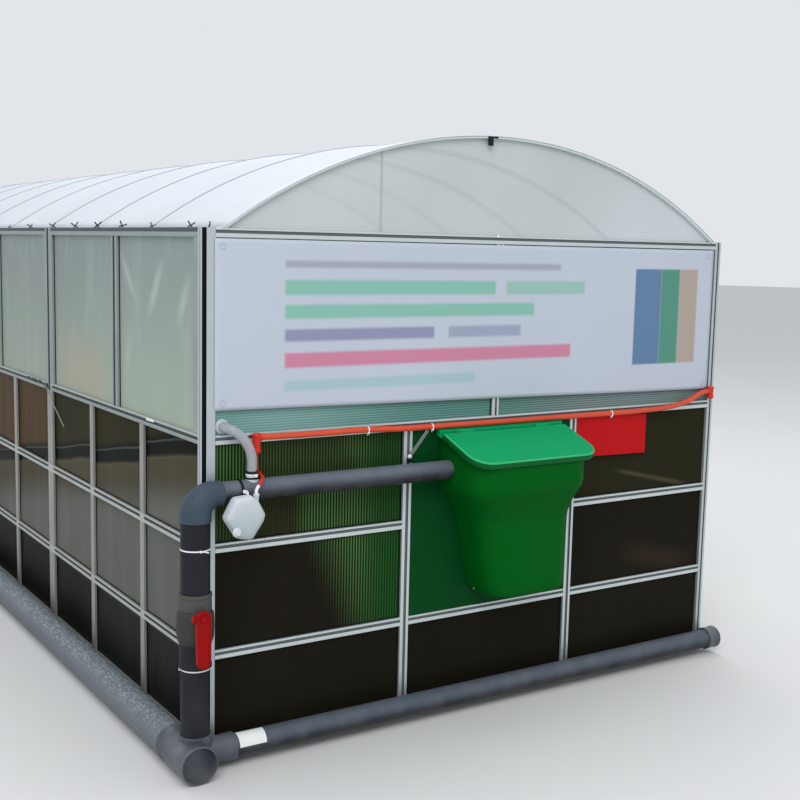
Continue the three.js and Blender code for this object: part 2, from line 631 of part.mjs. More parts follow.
// Vent hose from its gland in the front sheet down to a saddle on the outlet pipe
function addVent() {
  const [glandX, glandZ] = VENT_GLAND
  addPiece('vent_gland', rod([glandX, SHEET_FRONT - GAP, glandZ], [glandX, 0, glandZ],
    VENT_GLAND_RADIUS), fitting)
  addPiece('vent_hose', hose(VENT_ROUTE, VENT_RADIUS, 20, 12), clearHose)
  const stub = rod([SADDLE_X, PIPE_Y, OUTLET_Z], [SADDLE_X, PIPE_Y, SADDLE_TOP], SADDLE_RADIUS)
  const seat = rod([SADDLE_X - SADDLE_HALF, PIPE_Y, OUTLET_Z], [SADDLE_X + SADDLE_HALF, PIPE_Y, OUTLET_Z],
    OUTLET_RADIUS + GAP)
  addPiece('vent_saddle', stub.subtract(seat), fitting)
}

// Seal bottle tied in front of the outlet pipe, with the tube that feeds it from the gas tee
function addBottle() {
  const tall = BOTTLE_HEIGHT / 2
  const outline = BOTTLE_CORNERS.map(([x, z]) => new THREE.Vector2(
    BOTTLE_X + x * BOTTLE_HALF, BOTTLE_TOP - tall + z * tall)).reverse()
  const bottle = new THREE.ExtrudeGeometry(new THREE.Shape(outline), {
    depth: BOTTLE_DEPTH - 2 * BOTTLE_BEVEL,
    bevelEnabled: true,
    bevelThickness: BOTTLE_BEVEL,
    bevelSize: BOTTLE_BEVEL,
    bevelOffset: -BOTTLE_BEVEL,
    bevelSegments: 2,
  })
  bottle.rotateX(Math.PI / 2).translate(0, BOTTLE_Y + BOTTLE_DEPTH / 2 - BOTTLE_BEVEL, 0)
  const [neckX, neckRadius, neckTop] = BOTTLE_NECK
  const neck = rod([neckX, BOTTLE_Y, BOTTLE_TOP - tall], [neckX, BOTTLE_Y, neckTop], neckRadius, 12)
  addPiece('seal_bottle', toSolid(bottle).add(neck), whitePlastic)

  const band = (radius, half) => rod([TIE_X - half, PIPE_Y, OUTLET_Z], [TIE_X + half, PIPE_Y, OUTLET_Z],
    radius)
  const ring = band(OUTLET_RADIUS + TIE_THICKNESS, TIE_HALF).subtract(
    band(OUTLET_RADIUS + GAP, 2 * TIE_HALF))
  const tab = box([TIE_X - TIE_HALF, TIE_X + TIE_HALF],
    [BOTTLE_Y, PIPE_Y - OUTLET_RADIUS - TIE_THICKNESS / 2], [BOTTLE_TOP + GAP, OUTLET_Z + 2 * TIE_HALF])
  addPiece('bottle_tie', ring.add(tab), whitePlastic)
  addPiece('bottle_tube', hose(TUBE_ROUTE, TUBE_RADIUS, 18), whitePlastic)
}

addCornerPosts()
addEndFrame('front_frame', 0, 1, true)
addEndFrame('rear_frame', LENGTH, -1, false)
addSideFrames()
addSheets()
addRoof()
addTank()
addHopper()
addPipework()
addGasLine()
addVent()
addBottle()

addPiece('banner', plateXZ(BANNER_OUTLINE, -GAP - HUNG_THICKNESS, -GAP), vinyl)
addPiece('feed_sign', plateXZ(SIGN_OUTLINE, -GAP - HUNG_THICKNESS, -GAP), redPlastic)

export default group
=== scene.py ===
# Biogas digester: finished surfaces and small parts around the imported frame. Metres, +Z up.
import math

import bmesh
import bpy
from mathutils import Matrix, Vector


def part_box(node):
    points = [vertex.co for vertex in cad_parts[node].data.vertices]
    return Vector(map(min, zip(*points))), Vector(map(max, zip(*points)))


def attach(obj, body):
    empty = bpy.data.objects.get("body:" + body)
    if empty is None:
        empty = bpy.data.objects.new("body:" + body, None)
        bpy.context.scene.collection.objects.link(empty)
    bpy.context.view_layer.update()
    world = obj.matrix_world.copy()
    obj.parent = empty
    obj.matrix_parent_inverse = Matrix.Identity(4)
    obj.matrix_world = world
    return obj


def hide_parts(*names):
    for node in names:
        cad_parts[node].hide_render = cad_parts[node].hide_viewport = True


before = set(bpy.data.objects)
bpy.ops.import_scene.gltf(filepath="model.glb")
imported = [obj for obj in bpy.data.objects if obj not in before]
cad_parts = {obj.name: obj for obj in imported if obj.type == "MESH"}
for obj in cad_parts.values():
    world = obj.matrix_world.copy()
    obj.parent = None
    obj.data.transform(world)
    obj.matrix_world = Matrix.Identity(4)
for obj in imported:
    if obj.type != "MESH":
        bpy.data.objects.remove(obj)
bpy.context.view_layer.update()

# Axes, and the gap that separates neighbouring pieces
X, Y, Z = Vector((1, 0, 0)), Vector((0, 1, 0)), Vector((0, 0, 1))
GAP = 0.0003

# Driving dimensions of the glazed walls
HALF_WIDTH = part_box("corner_post_front_right")[1].x
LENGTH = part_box("corner_post_rear_left")[1].y
WALL_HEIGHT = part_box("corner_post_front_left")[1].z
ENDS = (("front", 0.0, 1), ("rear", LENGTH, -1))
MODULE_COUNT = 5
MODULE = LENGTH / MODULE_COUNT
POST = 0.042
POST_NOTCH = 0.012
POST_SEAM = 0.00125
POST_SLOT = 0.004
BAR = 0.034
MULLION = 0.028
RAIL = 0.030
BASE_RAIL = 0.058
SILL = 0.005
SILL_LIP = 0.008
SIDE_POST = 0.065
SIDE_MULLION = 0.054
CORNER_JAMB = 0.032
JOINT_JAMB = 0.020
RAIL_DEPTH = 0.035
BAR_DEPTH = 0.012
INNER_POST = (0.0206, 0.050)
EAVE_DEPTH = 0.085
EAVE_PLATE = 0.005
EAVE_STRIP = 0.014
EAVE_STRIP_INSET = 0.005
ROW = 0.348
MID_RAIL_TOP = 1.057
MID_RAIL_FOOT = MID_RAIL_TOP - RAIL
TOP_RAIL_FOOT = WALL_HEIGHT - RAIL
BAY_X = 0.375
INNER_X = HALF_WIDTH - POST - GAP
RIB_PITCH = 0.011

# Section of the aluminium bars
EASE = 0.0012
GROOVE_SHARE = 0.34
GROOVE_DEPTH = 0.005
GROOVE_RISE = 0.12
GASKET = 0.004
GASKET_DEPTH = (0.0095, 0.0122)
GASKET_EASE = 0.0005

# Driving dimensions of the arched roof
ROOF_HALF = 1.075
ROOF_RISE = 0.343
ROOF_RADIUS = (ROOF_HALF ** 2 + ROOF_RISE ** 2) / (2 * ROOF_RISE)
ROOF_CENTRE = WALL_HEIGHT + ROOF_RISE - ROOF_RADIUS
ROOF_REACH = math.acos((WALL_HEIGHT + GAP - ROOF_CENTRE) / ROOF_RADIUS)
HOOP_SPACING = 0.587
HOOP_COUNT = 13
HOOP_INSET = 0.036
ROOF_OVERHANG = 0.010
FILM = 0.0012
FILM_SAG = 0.007
GABLE_JOINT_X = -0.5
GABLE_JOINT_HALF = 0.003
HOLD_WIRE = 0.0017
TAIL_X = ROOF_HALF + 0.020
TAIL_SHIFT = 0.09
TAIL_JITTER = 0.045

# Driving dimensions of the banner and the sign, with corners as (x, height) from the lower left
BANNER_CORNERS = [(-1.103, 1.136), (1.085, 1.106), (1.085, 1.667), (-1.103, 1.668)]
BANNER_CLOTH = 0.0006
BANNER_Y = -0.0022
BANNER_WAVE = 0.0009
SIGN_CORNERS = [(0.390, 0.874), (0.752, 0.866), (0.752, 1.020), (0.390, 1.038)]
SIGN_THICKNESS = 0.0010
SIGN_Y = -0.0018
SIGN_BOW = 0.0014

# Driving dimensions of the hopper and its lid. Each section is [height, left, right, front, corner].
HINGE = Vector((0.0205, -0.030, 1.014))
HOPPER_SECTIONS = [
    [0.421, -0.084, 0.230, -0.152, 0.064],
    [0.431, -0.098, 0.238, -0.167, 0.074],
    [0.450, -0.108, 0.243, -0.176, 0.082],
    [0.700, -0.166, 0.248, -0.182, 0.088],
    [0.765, -0.200, 0.256, -0.205, 0.092],
    [0.838, -0.238, 0.276, -0.236, 0.095],
    [1.119, -0.243, 0.279, -0.239, 0.092],
]
SHOULDER = 0.838
HOPPER_BACK = 0.0017
HOPPER_WALL = 0.005
LID_SLOPE = math.radians(20.2)
LID_TOP = 0.004
LID_THICKNESS = 0.024
LID_LEFT = -0.257
LID_RIGHT = 0.298
LID_DEPTH = 0.235
LID_BACK = 0.0085
LID_CORNER = 0.075
KNUCKLE_RADIUS = 0.007
KNUCKLE_HALF = 0.030
KNUCKLE_OFFSET = 0.170
PIN_HOLE = 0.0033
RAIL_LINE = 0.0035
SCREW_SPOT = (-0.038, 0.439)

# Driving dimensions of the pipework
PIPE_Y = -0.057
PIPE_Z = 0.062
MAIN_X = -1.215
MAIN_RADIUS = 0.057
RISER_X = -1.190
RISER_RADIUS = 0.046
DRAIN_RADIUS = 0.0375
OUTLET_Z = 0.889
OUTLET_RADIUS = 0.0315
FITTING_WALL = 0.0055
FITTING_LIP = 0.0015
ELBOW_BOTTOM = 0.805
ELBOW_SOCKET = 0.018
ELBOW_BEND = OUTLET_Z - ELBOW_BOTTOM - ELBOW_SOCKET
ELBOW_WIDE = 0.0494
ELBOW_NARROW = 0.0404
ELBOW_DROP = 0.003
LEVER_X = -1.200
LEVER_Z = 0.522
LEVER_TIP = 0.387
LEVER_BACK = -0.1293
LABEL_SPAN = (-1.052, -0.958)
RISER_TIE_HEIGHTS = (0.722, 0.3435)

# Driving dimensions of the hoses and the bottle. The gas route is given as (x, rise over the middle).
GAS_Y = -0.0143
GAS_Z = 1.045
GAS_RADIUS = 0.010
GAS_ROUTE = [(-0.947, 0), (-0.925, 0), (-0.8, -0.002), (-0.55, -0.002), (-0.42, -0.007),
             (-0.289, -0.008), (0.01, -0.0095), (0.293, -0.009), (0.55, -0.009), (0.703, -0.008),
             (0.868, -0.001), (0.979, 0.02), (1.03, 0.042), (1.062, 0.05), (1.08, 0.05)]
GAS_TIES = [-0.55, -0.289, 0.55]
GAS_TEE_INSET = 0.014
VENT_RADIUS = 0.016
VENT_ROUTE = [(-1.072, -0.0003, 1.083), (-1.072, -0.014, 1.083), (-1.058, -0.035, 1.077),
              (-1.034, -0.047, 1.058), (-1.010, -0.055, 1.022), (-1.0, PIPE_Y, 0.985),
              (-1.0, PIPE_Y, 0.965), (-1.0, PIPE_Y, 0.9403)]
SADDLE_X = -1.0
TUBE_RADIUS = 0.005
TUBE_ROUTE = [(-0.963, GAS_Y, 0.9947), (-0.963, GAS_Y, 0.984), (-0.965, -0.018, 0.962),
              (-0.968, -0.029, 0.944), (-0.970, -0.054, 0.935), (-0.975, -0.082, 0.931),
              (-0.992, -0.108, 0.922), (-1.010, -0.120, 0.908), (-1.016, -0.122, 0.898),
              (-1.016, -0.122, 0.8893)]
BOTTLE = Vector((-1.059, -0.122, 0.817))
BOTTLE_HALF = 0.0675
BOTTLE_TALL = 0.070
BOTTLE_CORNERS = [(-0.48, 0.94), (-1, 0.06), (-0.39, -0.86), (0.32, -1), (0.9, -0.2), (1, 0.11),
                  (0.65, 0.73), (0.31, 1)]
BOTTLE_ROUNDING = 0.018
BOTTLE_NECK = Vector((0.043, 0, 0.050))
BOTTLE_SPOUT = Vector((-0.034, -0.0270, -0.036))
CORD_X = -1.045

# Camera at the photograph's place, in a shared frame with the part
CAMERA_PLACE = Vector((-2.63817, -3.39198, 1.65346))
CAMERA_YAW = 0.58039
CAMERA_PITCH = -0.12718
CAMERA_ROLL = 0.02244
CAMERA_LENS_MM = 53.85

# Floor and lamps, each lamp as (name, place, size, watts)
FLOOR_REACH = 60
LAMPS = (("key", (-4.5, -5.5, 7.5), 6.0, 420), ("top", (1.5, 3.5, 9.0), 9.0, 420))
LAMP_TARGET = Vector((0.0, 1.5, 0.8))
SKY = (0.80, 0.83, 0.87, 1.0)
SKY_STRENGTH = 0.95

# Tone of the dust on pipes and frames, in sRGB values of 0 to 255
DUST = (150, 146, 134)


def add_camera():
    lens = bpy.data.cameras.new("camera")
    lens.lens = CAMERA_LENS_MM
    camera = bpy.data.objects.new("camera", lens)
    bpy.context.scene.collection.objects.link(camera)
    heading = Matrix.Rotation(-CAMERA_YAW, 4, "Z")
    tilt = Matrix.Rotation(math.pi / 2 + CAMERA_PITCH, 4, "X")
    roll = Matrix.Rotation(CAMERA_ROLL, 4, "Z")
    camera.matrix_world = Matrix.Translation(CAMERA_PLACE) @ heading @ tilt @ roll
    bpy.context.scene.camera = camera


def srgb(red, green, blue):
    """Linear colour from sRGB values of 0 to 255."""
    def channel(value):
        share = value / 255
        return share / 12.92 if share <= 0.04045 else ((share + 0.055) / 1.055) ** 2.4
    return (channel(red), channel(green), channel(blue), 1.0)


def scaled(colour, share):
    return tuple(min(1.0, value * share) for value in colour[:3]) + (1.0,)


class Nodes:
    """Short words for adding linked nodes to a tree."""

    def __init__(self, tree):
        self.tree = tree

    def node(self, kind, inputs=None, **settings):
        made = self.tree.nodes.new(kind)
        for key, value in settings.items():
            setattr(made, key, value)
        for key, value in (inputs or {}).items():
            self.feed(made.inputs[key], value)
        return made

    def out(self, kind, inputs=None, **settings):
        """The first output of a new node."""
        return self.node(kind, inputs, **settings).outputs[0]

    def feed(self, socket, value):
        if isinstance(value, bpy.types.NodeSocket):
            self.tree.links.new(value, socket)
        else:
            socket.default_value = value

    def math(self, operation, first, second=0.0):
        return self.out("ShaderNodeMath", {0: first, 1: second}, operation=operation)

    def times(self, first, *others):
        for other in others:
            first = self.math("MULTIPLY", first, other)
        return first

    def plus(self, first, *others):
        for other in others:
            first = self.math("ADD", first, other)
        return first


class Finish(Nodes):
    """A material on object coordinates. Colours are given as sRGB values of 0 to 255."""

    def __init__(self, name, roughness=0.5, metallic=0.0, **constants):
        self.material = bpy.data.materials.new(name)
        self.material.use_nodes = True
        super().__init__(self.material.node_tree)
        self.shader = self.tree.nodes["Principled BSDF"]
        self.shader.inputs["Roughness"].default_value = roughness
        self.shader.inputs["Metallic"].default_value = metallic
        for word, value in constants.items():
            socket = word.replace("_", " ").title().replace("Ior", "IOR")
            self.shader.inputs[socket].default_value = value
        self.place = self.node("ShaderNodeTexCoord").outputs["Object"]
        self.x, self.y, self.z = self.node("ShaderNodeSeparateXYZ", {0: self.place}).outputs

    def noise(self, scale, stretch=(1, 1, 1), detail=4.0, shift=(0, 0, 0)):
        mapped = self.out("ShaderNodeMapping",
                          {"Vector": self.place, "Scale": stretch, "Location": shift})
        return self.out("ShaderNodeTexNoise", {"Vector": mapped, "Scale": scale, "Detail": detail})

    def span(self, value, low, high, to_low=0.0, to_high=1.0, kind="LINEAR"):
        """A value mapped from one span to another and held at its ends."""
        return self.out("ShaderNodeMapRange", {0: value, 1: low, 2: high, 3: to_low, 4: to_high},
                        interpolation_type=kind)

    def fade(self, value, low, high, to_low=0.0, to_high=1.0):
        """The same as span, with soft ends."""
        return self.span(value, low, high, to_low, to_high, "SMOOTHSTEP")

    def between(self, value, low, high, soft):
        """1 inside a span, falling to 0 over a soft edge."""
        return self.times(self.fade(value, low - soft, low + soft),
                          self.fade(value, high - soft, high + soft, 1, 0))

    def ribs(self, axis, pitch):
        """Waves from 0 to 1 along an axis, one to each pitch."""
        turns = self.times({"X": self.x, "Y": self.y, "Z": self.z}[axis], 2 * math.pi / pitch)
        return self.span(self.math("SINE", turns), -1, 1)

    def mix(self, share, first, second):
        """Two tones mixed. Each is a socket, a linear colour or three sRGB values."""
        tones = [srgb(*tone) if isinstance(tone, tuple) and len(tone) == 3 else tone
                 for tone in (first, second)]
        # Sockets 0, 6 and 7 of a colour mix are its factor and its two colours.
        mixed = self.node("ShaderNodeMix", {0: share, 6: tones[0], 7: tones[1]}, data_type="RGBA")
        return mixed.outputs[2]

    def lay(self, tone, colour, *shares):
        """Lays a colour over a tone, as strongly as its shares say together."""
        return self.mix(self.times(*shares), tone, colour)

    def colour(self, value):
        self.feed(self.shader.inputs["Base Color"], value)

    def rough(self, value):
        self.feed(self.shader.inputs["Roughness"], value)

    def bump(self, height, distance, strength=1.0):
        bump = self.out("ShaderNodeBump",
                        {"Strength": strength, "Distance": distance, "Height": height})
        self.feed(self.shader.inputs["Normal"], bump)

    def grain(self):
        self.bump(self.noise(220.0, detail=3.0), 0.0002, 0.4)


def moulded(name, colour, roughness=0.45, metallic=0.0, mottle=0.08, grain=220.0, lump=0.0002,
            dust=0.0, **constants):
    """A plain finish with slight mottling, fine grain and dust that gathers near the ground."""
    finish = Finish(name, roughness, metallic, **constants)
    base = srgb(*colour)
    broad = finish.noise(7.0, detail=6.0)
    tone = finish.mix(broad, scaled(base, 1 - 2 * mottle), scaled(base, 1 + 2 * mottle))
    if dust:
        low = finish.fade(finish.z, 0.0, 0.45, 1, 0)
        patches = finish.span(finish.noise(14.0, detail=8.0, shift=(7, 2, 5)), 0.35, 0.75)
        tone = finish.lay(tone, DUST, low, patches, dust)
    finish.colour(tone)
    finish.rough(finish.span(broad, 0.2, 0.8, roughness - 0.07, roughness + 0.07))
    finish.bump(finish.noise(grain, detail=3.0, shift=(3, 1, 2)), lump, 0.4)
    return finish.material


def painted_light_pipe(name, under, crown, height, radius):
    """Grey pipe with painted light on its upper side and painted shade below, and a little dust."""
    finish = Finish(name, 0.4, specular_ior_level=0.2)
    # The upper share is painted light on the pipe's top and painted shade under it.
    upper = finish.fade(finish.z, height - 0.5 * radius, height + 0.6 * radius)
    worn = finish.span(finish.noise(14.0, detail=8.0), 0.4, 0.8, 0, 0.15)
    finish.colour(finish.lay(finish.mix(upper, under, crown), DUST, worn))
    finish.grain()
    return finish.material


def speckled_pipe():
    """Weathered grey pipe that lies on the ground: pale worn speckles on its top."""
    finish = Finish("weathered_pipe", 0.5, specular_ior_level=0.2)
    broad = finish.noise(5.0, stretch=(1, 0.3, 1), detail=6.0)
    base = finish.mix(broad, (86, 94, 101), (116, 122, 129))
    specks = finish.span(finish.noise(150.0, stretch=(1, 0.35, 1), detail=8.0), 0.46, 0.66)
    top = finish.fade(finish.z, PIPE_Z + 0.01, PIPE_Z + MAIN_RADIUS, 0.0, 0.7)
    finish.colour(finish.lay(base, (158, 170, 172), specks, top))
    finish.bump(specks, 0.0004, 0.4)
    return finish.material


def side_aluminium():
    """Aluminium of the side frames, darker than the front's as painted shade: clean above the middle rail,
    dusty below, level bars paler as painted light.
    """
    finish = Finish("side_aluminium", 0.45, 0.4)
    clouds = finish.noise(9.0, detail=6.0)
    clean = finish.mix(clouds, (138, 149, 147), (160, 170, 167))
    dust_and_reflection = finish.mix(clouds, (142, 143, 137), (166, 165, 159))
    pale = finish.mix(clouds, (168, 172, 167), (194, 197, 192))
    tone = finish.mix(finish.span(finish.z, 1.02, 1.04), dust_and_reflection, clean)
    # The paler bands are painted light on the level bars.
    half = RAIL / 2
    for low, high in ((ROW - half, ROW + half), (2 * ROW - half, 2 * ROW + half),
                      (MID_RAIL_TOP - 0.010, MID_RAIL_TOP)):
        tone = finish.lay(tone, pale, finish.between(finish.z, low, high, 0.001))
    finish.colour(tone)
    finish.grain()
    return finish.material


def milky_finish():
    """Milky bottle plastic, bluish grey, with painted light towards its top and painted shade towards its
    foot.
    """
    finish = Finish("milky_plastic", 0.36, subsurface_weight=0.2, specular_ior_level=0.4)
    # Painted light and shade by height: pale at the bottle's top, darker towards its foot.
    height = finish.fade(finish.z, BOTTLE.z - BOTTLE_TALL, BOTTLE.z + BOTTLE_TALL)
    base = finish.mix(height, (156, 168, 170), (204, 209, 214))
    finish.colour(finish.lay(base, (176, 185, 190), finish.noise(24.0)))
    finish.bump(finish.noise(60.0, detail=3.0), 0.0003, 0.3)
    return finish.material


def front_dark_sheet():
    """Dark twin-wall sheet with upright ribs, greenish towards the hopper in the left bay."""
    finish = Finish("front_dark_sheet", 0.3, specular_ior_level=0.03)
    ribs = finish.ribs("X", RIB_PITCH)
    lines = finish.span(ribs, 0.35, 0.9)
    top_row = (2 * ROW - 0.01, 2 * ROW + 0.01)
    brown = finish.mix(finish.noise(3.0, stretch=(1, 1, 0.5), detail=5.0), (14, 13, 8), (32, 29, 21))
    brown = finish.lay(brown, (48, 48, 28), finish.fade(finish.z, *top_row, 0, 0.5))
    brown = finish.lay(brown, (40, 36, 28), ribs, 0.35)
    green = finish.mix(finish.fade(finish.x, -0.60, -0.46),
                       finish.mix(lines, (20, 38, 16), (80, 116, 66)),
                       finish.mix(lines, (16, 50, 18), (38, 82, 38)))

    above = finish.span(finish.z, OUTLET_Z - 0.02, OUTLET_Z + 0.02)
    leaning = finish.plus(finish.x, finish.times(finish.z, 0.45))
    over_pipe = finish.math("MAXIMUM", finish.fade(finish.x, -1.0, -0.92, 0.9, 0.38),
                            finish.fade(leaning, -0.30, -0.10, 0, 0.8))
    under_pipe = finish.math("MAXIMUM", finish.fade(finish.x, -1.03, -0.98, 0.4, 0.1),
                             finish.fade(finish.x, -0.84, -0.74, 0, 0.9))
    under_pipe = finish.times(under_pipe, finish.math("SUBTRACT", 1.0, above))
    top_share = finish.math("MAXIMUM", finish.times(over_pipe, above), under_pipe)
    top_share = finish.times(top_share, finish.span(finish.z, *top_row))
    middle_share = finish.times(finish.fade(leaning, -0.50, -0.27),
                                finish.between(finish.z, ROW, 2 * ROW, 0.01))
    share = finish.math("MAXIMUM", top_share, middle_share)
    left_bay = finish.fade(finish.x, -BAY_X - 0.02, -BAY_X + 0.02, 1, 0)
    in_front = finish.math("LESS_THAN", finish.y, MODULE)
    tone = finish.lay(brown, green, share, left_bay, in_front)

    slanted = finish.plus(finish.z, finish.times(finish.x, 0.228))
    tone = finish.lay(tone, (104, 98, 74), finish.between(slanted, 0.936, 0.950, 0.009),
                      finish.between(finish.x, 0.64, 1.00, 0.06), in_front, 0.38)
    tone = finish.lay(tone, (58, 45, 36), finish.between(slanted, 0.58, 0.66, 0.04),
                      finish.between(finish.x, 0.70, 1.02, 0.10), in_front, 0.5)
    finish.colour(tone)
    finish.bump(ribs, 0.0006, 0.5)
    return finish.material


def side_dark_sheet():
    """Dark side sheet with painted reflections and shade in bands: nearly black at the foot, then grey, a
    dark band and olive over a pale line.

    The bands fall along the wall, with a step at the second pane. Past the second module it is plain."""
    finish = Finish("side_dark_sheet", 0.35, specular_ior_level=0.02)
    streaks = finish.noise(10.0, stretch=(1, 1, 0.12), detail=6.0)
    wobble = finish.times(finish.noise(2.4, detail=3.0), 0.03)
    second_pane = finish.between(finish.y, MODULE / 3, 2 * MODULE / 3, 0.005)
    height = finish.plus(finish.z, finish.times(finish.y, 0.17), wobble, finish.times(second_pane, 0.02))
    # Painted reflections: the foot nearly black with shade, grey as the ground's reflection, olive and warm
    # as reflected trees, with pale lines.
    foot = finish.lay(finish.mix(streaks, (22, 24, 23), (46, 48, 47)),
                      finish.mix(streaks, (12, 14, 11), (34, 36, 32)), finish.fade(finish.y, 0.6, 1.3))
    grey = finish.mix(streaks, (84, 87, 81), (110, 112, 106))
    dust_and_reflection = finish.mix(streaks, (60, 55, 40), (84, 78, 62))
    olive = finish.mix(streaks, (20, 20, 4), (54, 51, 26))
    warm = finish.mix(streaks, (48, 38, 22), (116, 84, 54))
    plain = finish.mix(streaks, (42, 40, 33), (66, 61, 51))
    olive = finish.lay(olive, warm, finish.fade(finish.y, 1.45, 1.85, 0, 0.7))
    tone = finish.lay(grey, dust_and_reflection, finish.fade(height, 0.80, 0.96))
    tone = finish.lay(tone, (10, 14, 8), finish.fade(height, 1.005, 1.025))
    tone = finish.lay(tone, olive, finish.fade(height, 1.07, 1.10))
    tone = finish.lay(tone, (120, 122, 108), finish.between(height, 1.064, 1.069, 0.004), 0.4)
    tone = finish.lay(tone, (100, 98, 84), finish.between(height, 1.006, 1.010, 0.004), 0.35)
    tone = finish.lay(tone, plain, finish.fade(finish.y, 2.2, 3.2))
    finish.colour(finish.lay(tone, foot, finish.fade(finish.z, ROW - 0.04, ROW, 1, 0)))
    finish.bump(finish.ribs("Y", RIB_PITCH), 0.0004, 0.2)
    return finish.material


def side_frosted_sheet():
    """Frosted side sheet: grey green, with a few soft leaning smears in the first pane and a warm patch."""
    finish = Finish("side_frosted_sheet", 0.42, specular_ior_level=0.2)
    rising = finish.fade(finish.z, MID_RAIL_TOP, WALL_HEIGHT)
    tone = finish.mix(rising, (158, 171, 155), (139, 151, 149))
    tone = finish.lay(tone, (96, 108, 110), finish.fade(finish.y, 0.6, 1.4, 0, 0.16))
    clouds = finish.span(finish.noise(7.0, stretch=(1, 1.4, 0.35), detail=5.0), 0.48, 0.75)
    tone = finish.lay(tone, (174, 184, 177), clouds, 0.35)
    smears = ((-0.87, -0.66, 1.47, 1.60, 0.7), (0.59, 1.30, 1.42, 1.57, 0.8),
              (0.58, 1.03, 1.41, 1.53, 0.7), (0.30, 1.05, 1.20, 1.34, 0.3))
    for lean, middle, low, high, strength in smears:
        along = finish.plus(finish.y, finish.times(finish.z, lean))
        tone = finish.lay(tone, (196, 204, 199), finish.between(along, middle - 0.01, middle + 0.015, 0.035),
                          finish.between(finish.z, low, high, 0.05), strength)
    tone = finish.lay(tone, (170, 163, 142), finish.between(finish.y, 0.95, 1.42, 0.12),
                      finish.between(finish.z, 1.02, 1.25, 0.10), 0.75)
    ribs = finish.ribs("Y", RIB_PITCH)
    finish.colour(finish.lay(tone, (112, 122, 117), ribs, 0.10))
    finish.bump(ribs, 0.0004, 0.3)
    return finish.material


def end_frosted_sheet():
    """Fluted end sheet above the middle rail: level flutes, green at the left and grey at the right."""
    finish = Finish("end_frosted_sheet", 0.34, specular_ior_level=0.15)
    flutes = finish.ribs("Z", 0.0085)
    middle = finish.fade(finish.x, -0.9, -0.25)
    right = finish.math("MAXIMUM", finish.fade(finish.x, 0.0, 0.5),
                        finish.math("GREATER_THAN", finish.y, MODULE))
    pale = finish.lay(finish.mix(middle, (126, 168, 161), (98, 142, 134)), (124, 140, 139), right)
    dark = finish.lay(finish.mix(middle, (102, 140, 132), (70, 110, 104)), (92, 106, 105), right)
    finish.colour(finish.mix(flutes, dark, pale))
    finish.bump(flutes, 0.0008, 0.6)
    return finish.material


def gable_finish():
    """Pale grey green gable sheet with fine level ribs and faint curved shadows of the hoops behind it."""
    finish = Finish("gable_sheet_finish", 0.5, specular_ior_level=0.3)
    ribs = finish.ribs("Z", 0.009)
    tone = finish.mix(finish.noise(2.2), (176, 184, 185), (197, 203, 204))
    low_right = finish.fade(finish.math("SUBTRACT", finish.x, finish.z), -1.6, -0.9, 0, 0.6)
    tone = finish.lay(tone, (206, 212, 215), low_right)
    tone = finish.lay(tone, (164, 174, 173), ribs, 0.20)
    flat = finish.out("ShaderNodeCombineXYZ", {0: finish.x, 2: finish.z})
    for hoop in range(1, 5):
        share = 1 / (1 + 0.173 * hoop)
        centre = (-2.64 * (1 - share), 0.0, 1.653 - 1.466 * share)
        away = finish.node("ShaderNodeVectorMath", {0: flat, 1: centre}, operation="DISTANCE")
        shadow = finish.between(away.outputs["Value"], ROOF_RADIUS * share - 0.012,
                                ROOF_RADIUS * share + 0.004, 0.009)
        tone = finish.lay(tone, (140, 150, 149), shadow, 0.30 - 0.05 * hoop)
    finish.colour(tone)
    finish.bump(ribs, 0.0005, 0.4)
    return finish.material


def film_finish():
    """White roof film, slightly dusty towards the eaves."""
    finish = Finish("roof_film_finish", 0.5, specular_ior_level=0.3)
    clouds = finish.noise(2.0, stretch=(1, 0.6, 1), detail=5.0)
    base = finish.mix(clouds, (191, 196, 202), (202, 207, 213))
    edge = finish.fade(finish.z, WALL_HEIGHT, WALL_HEIGHT + 0.10, 1, 0)
    streaks = finish.span(finish.noise(16.0, stretch=(0.3, 1, 0.3), detail=6.0), 0.45, 0.8)
    finish.colour(finish.lay(base, (168, 171, 172), edge, streaks, 0.35))
    finish.bump(finish.noise(26.0, stretch=(0.5, 1.6, 0.5), detail=5.0), 0.003, 0.25)
    return finish.material


def banner_finish():
    """Pale lavender vinyl with a plain layout of soft bars and colour fields."""
    finish = Finish("banner_finish", 0.45, specular_ior_level=0.25)
    low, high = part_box("banner")
    tall = high.z - low.z
    tone = finish.mix(finish.noise(1.7, detail=3.0), (178, 185, 198), (190, 196, 208))
    grey, green, blue = (150, 152, 168), (104, 178, 150), (110, 112, 150)
    # Each field is left, right, lower and upper share of the height, colour, strength and soft edge.
    fields = [(-0.86, 0.28, 0.845, 0.885, grey, 0.8, 0.007), (-0.86, -0.02, 0.69, 0.775, green, 0.75, 0.007),
              (0.03, 0.40, 0.69, 0.775, green, 0.55, 0.007), (-0.86, 0.16, 0.555, 0.635, green, 0.75, 0.007),
              (-0.86, -0.28, 0.425, 0.495, blue, 0.7, 0.007), (-0.22, 0.10, 0.425, 0.495, blue, 0.5, 0.007),
              (-0.86, 0.34, 0.275, 0.36, (200, 92, 128), 0.75, 0.007),
              (-0.86, -0.10, 0.14, 0.20, (140, 184, 186), 0.6, 0.007),
              (0.66, 0.80, 0.20, 0.86, (74, 112, 150), 0.9, 0.005),
              (0.80, 0.90, 0.20, 0.86, (52, 132, 108), 0.9, 0.005),
              (0.90, 1.00, 0.20, 0.86, (168, 152, 138), 0.9, 0.005)]
    for left, right, foot, top, colour, strength, soft in fields:
        tone = finish.lay(tone, colour, finish.between(finish.x, left, right, soft),
                          finish.between(finish.z, low.z + foot * tall, low.z + top * tall, soft), strength)
    finish.colour(tone)
    finish.bump(finish.noise(400.0, detail=2.0), 0.0002, 0.3)
    return finish.material


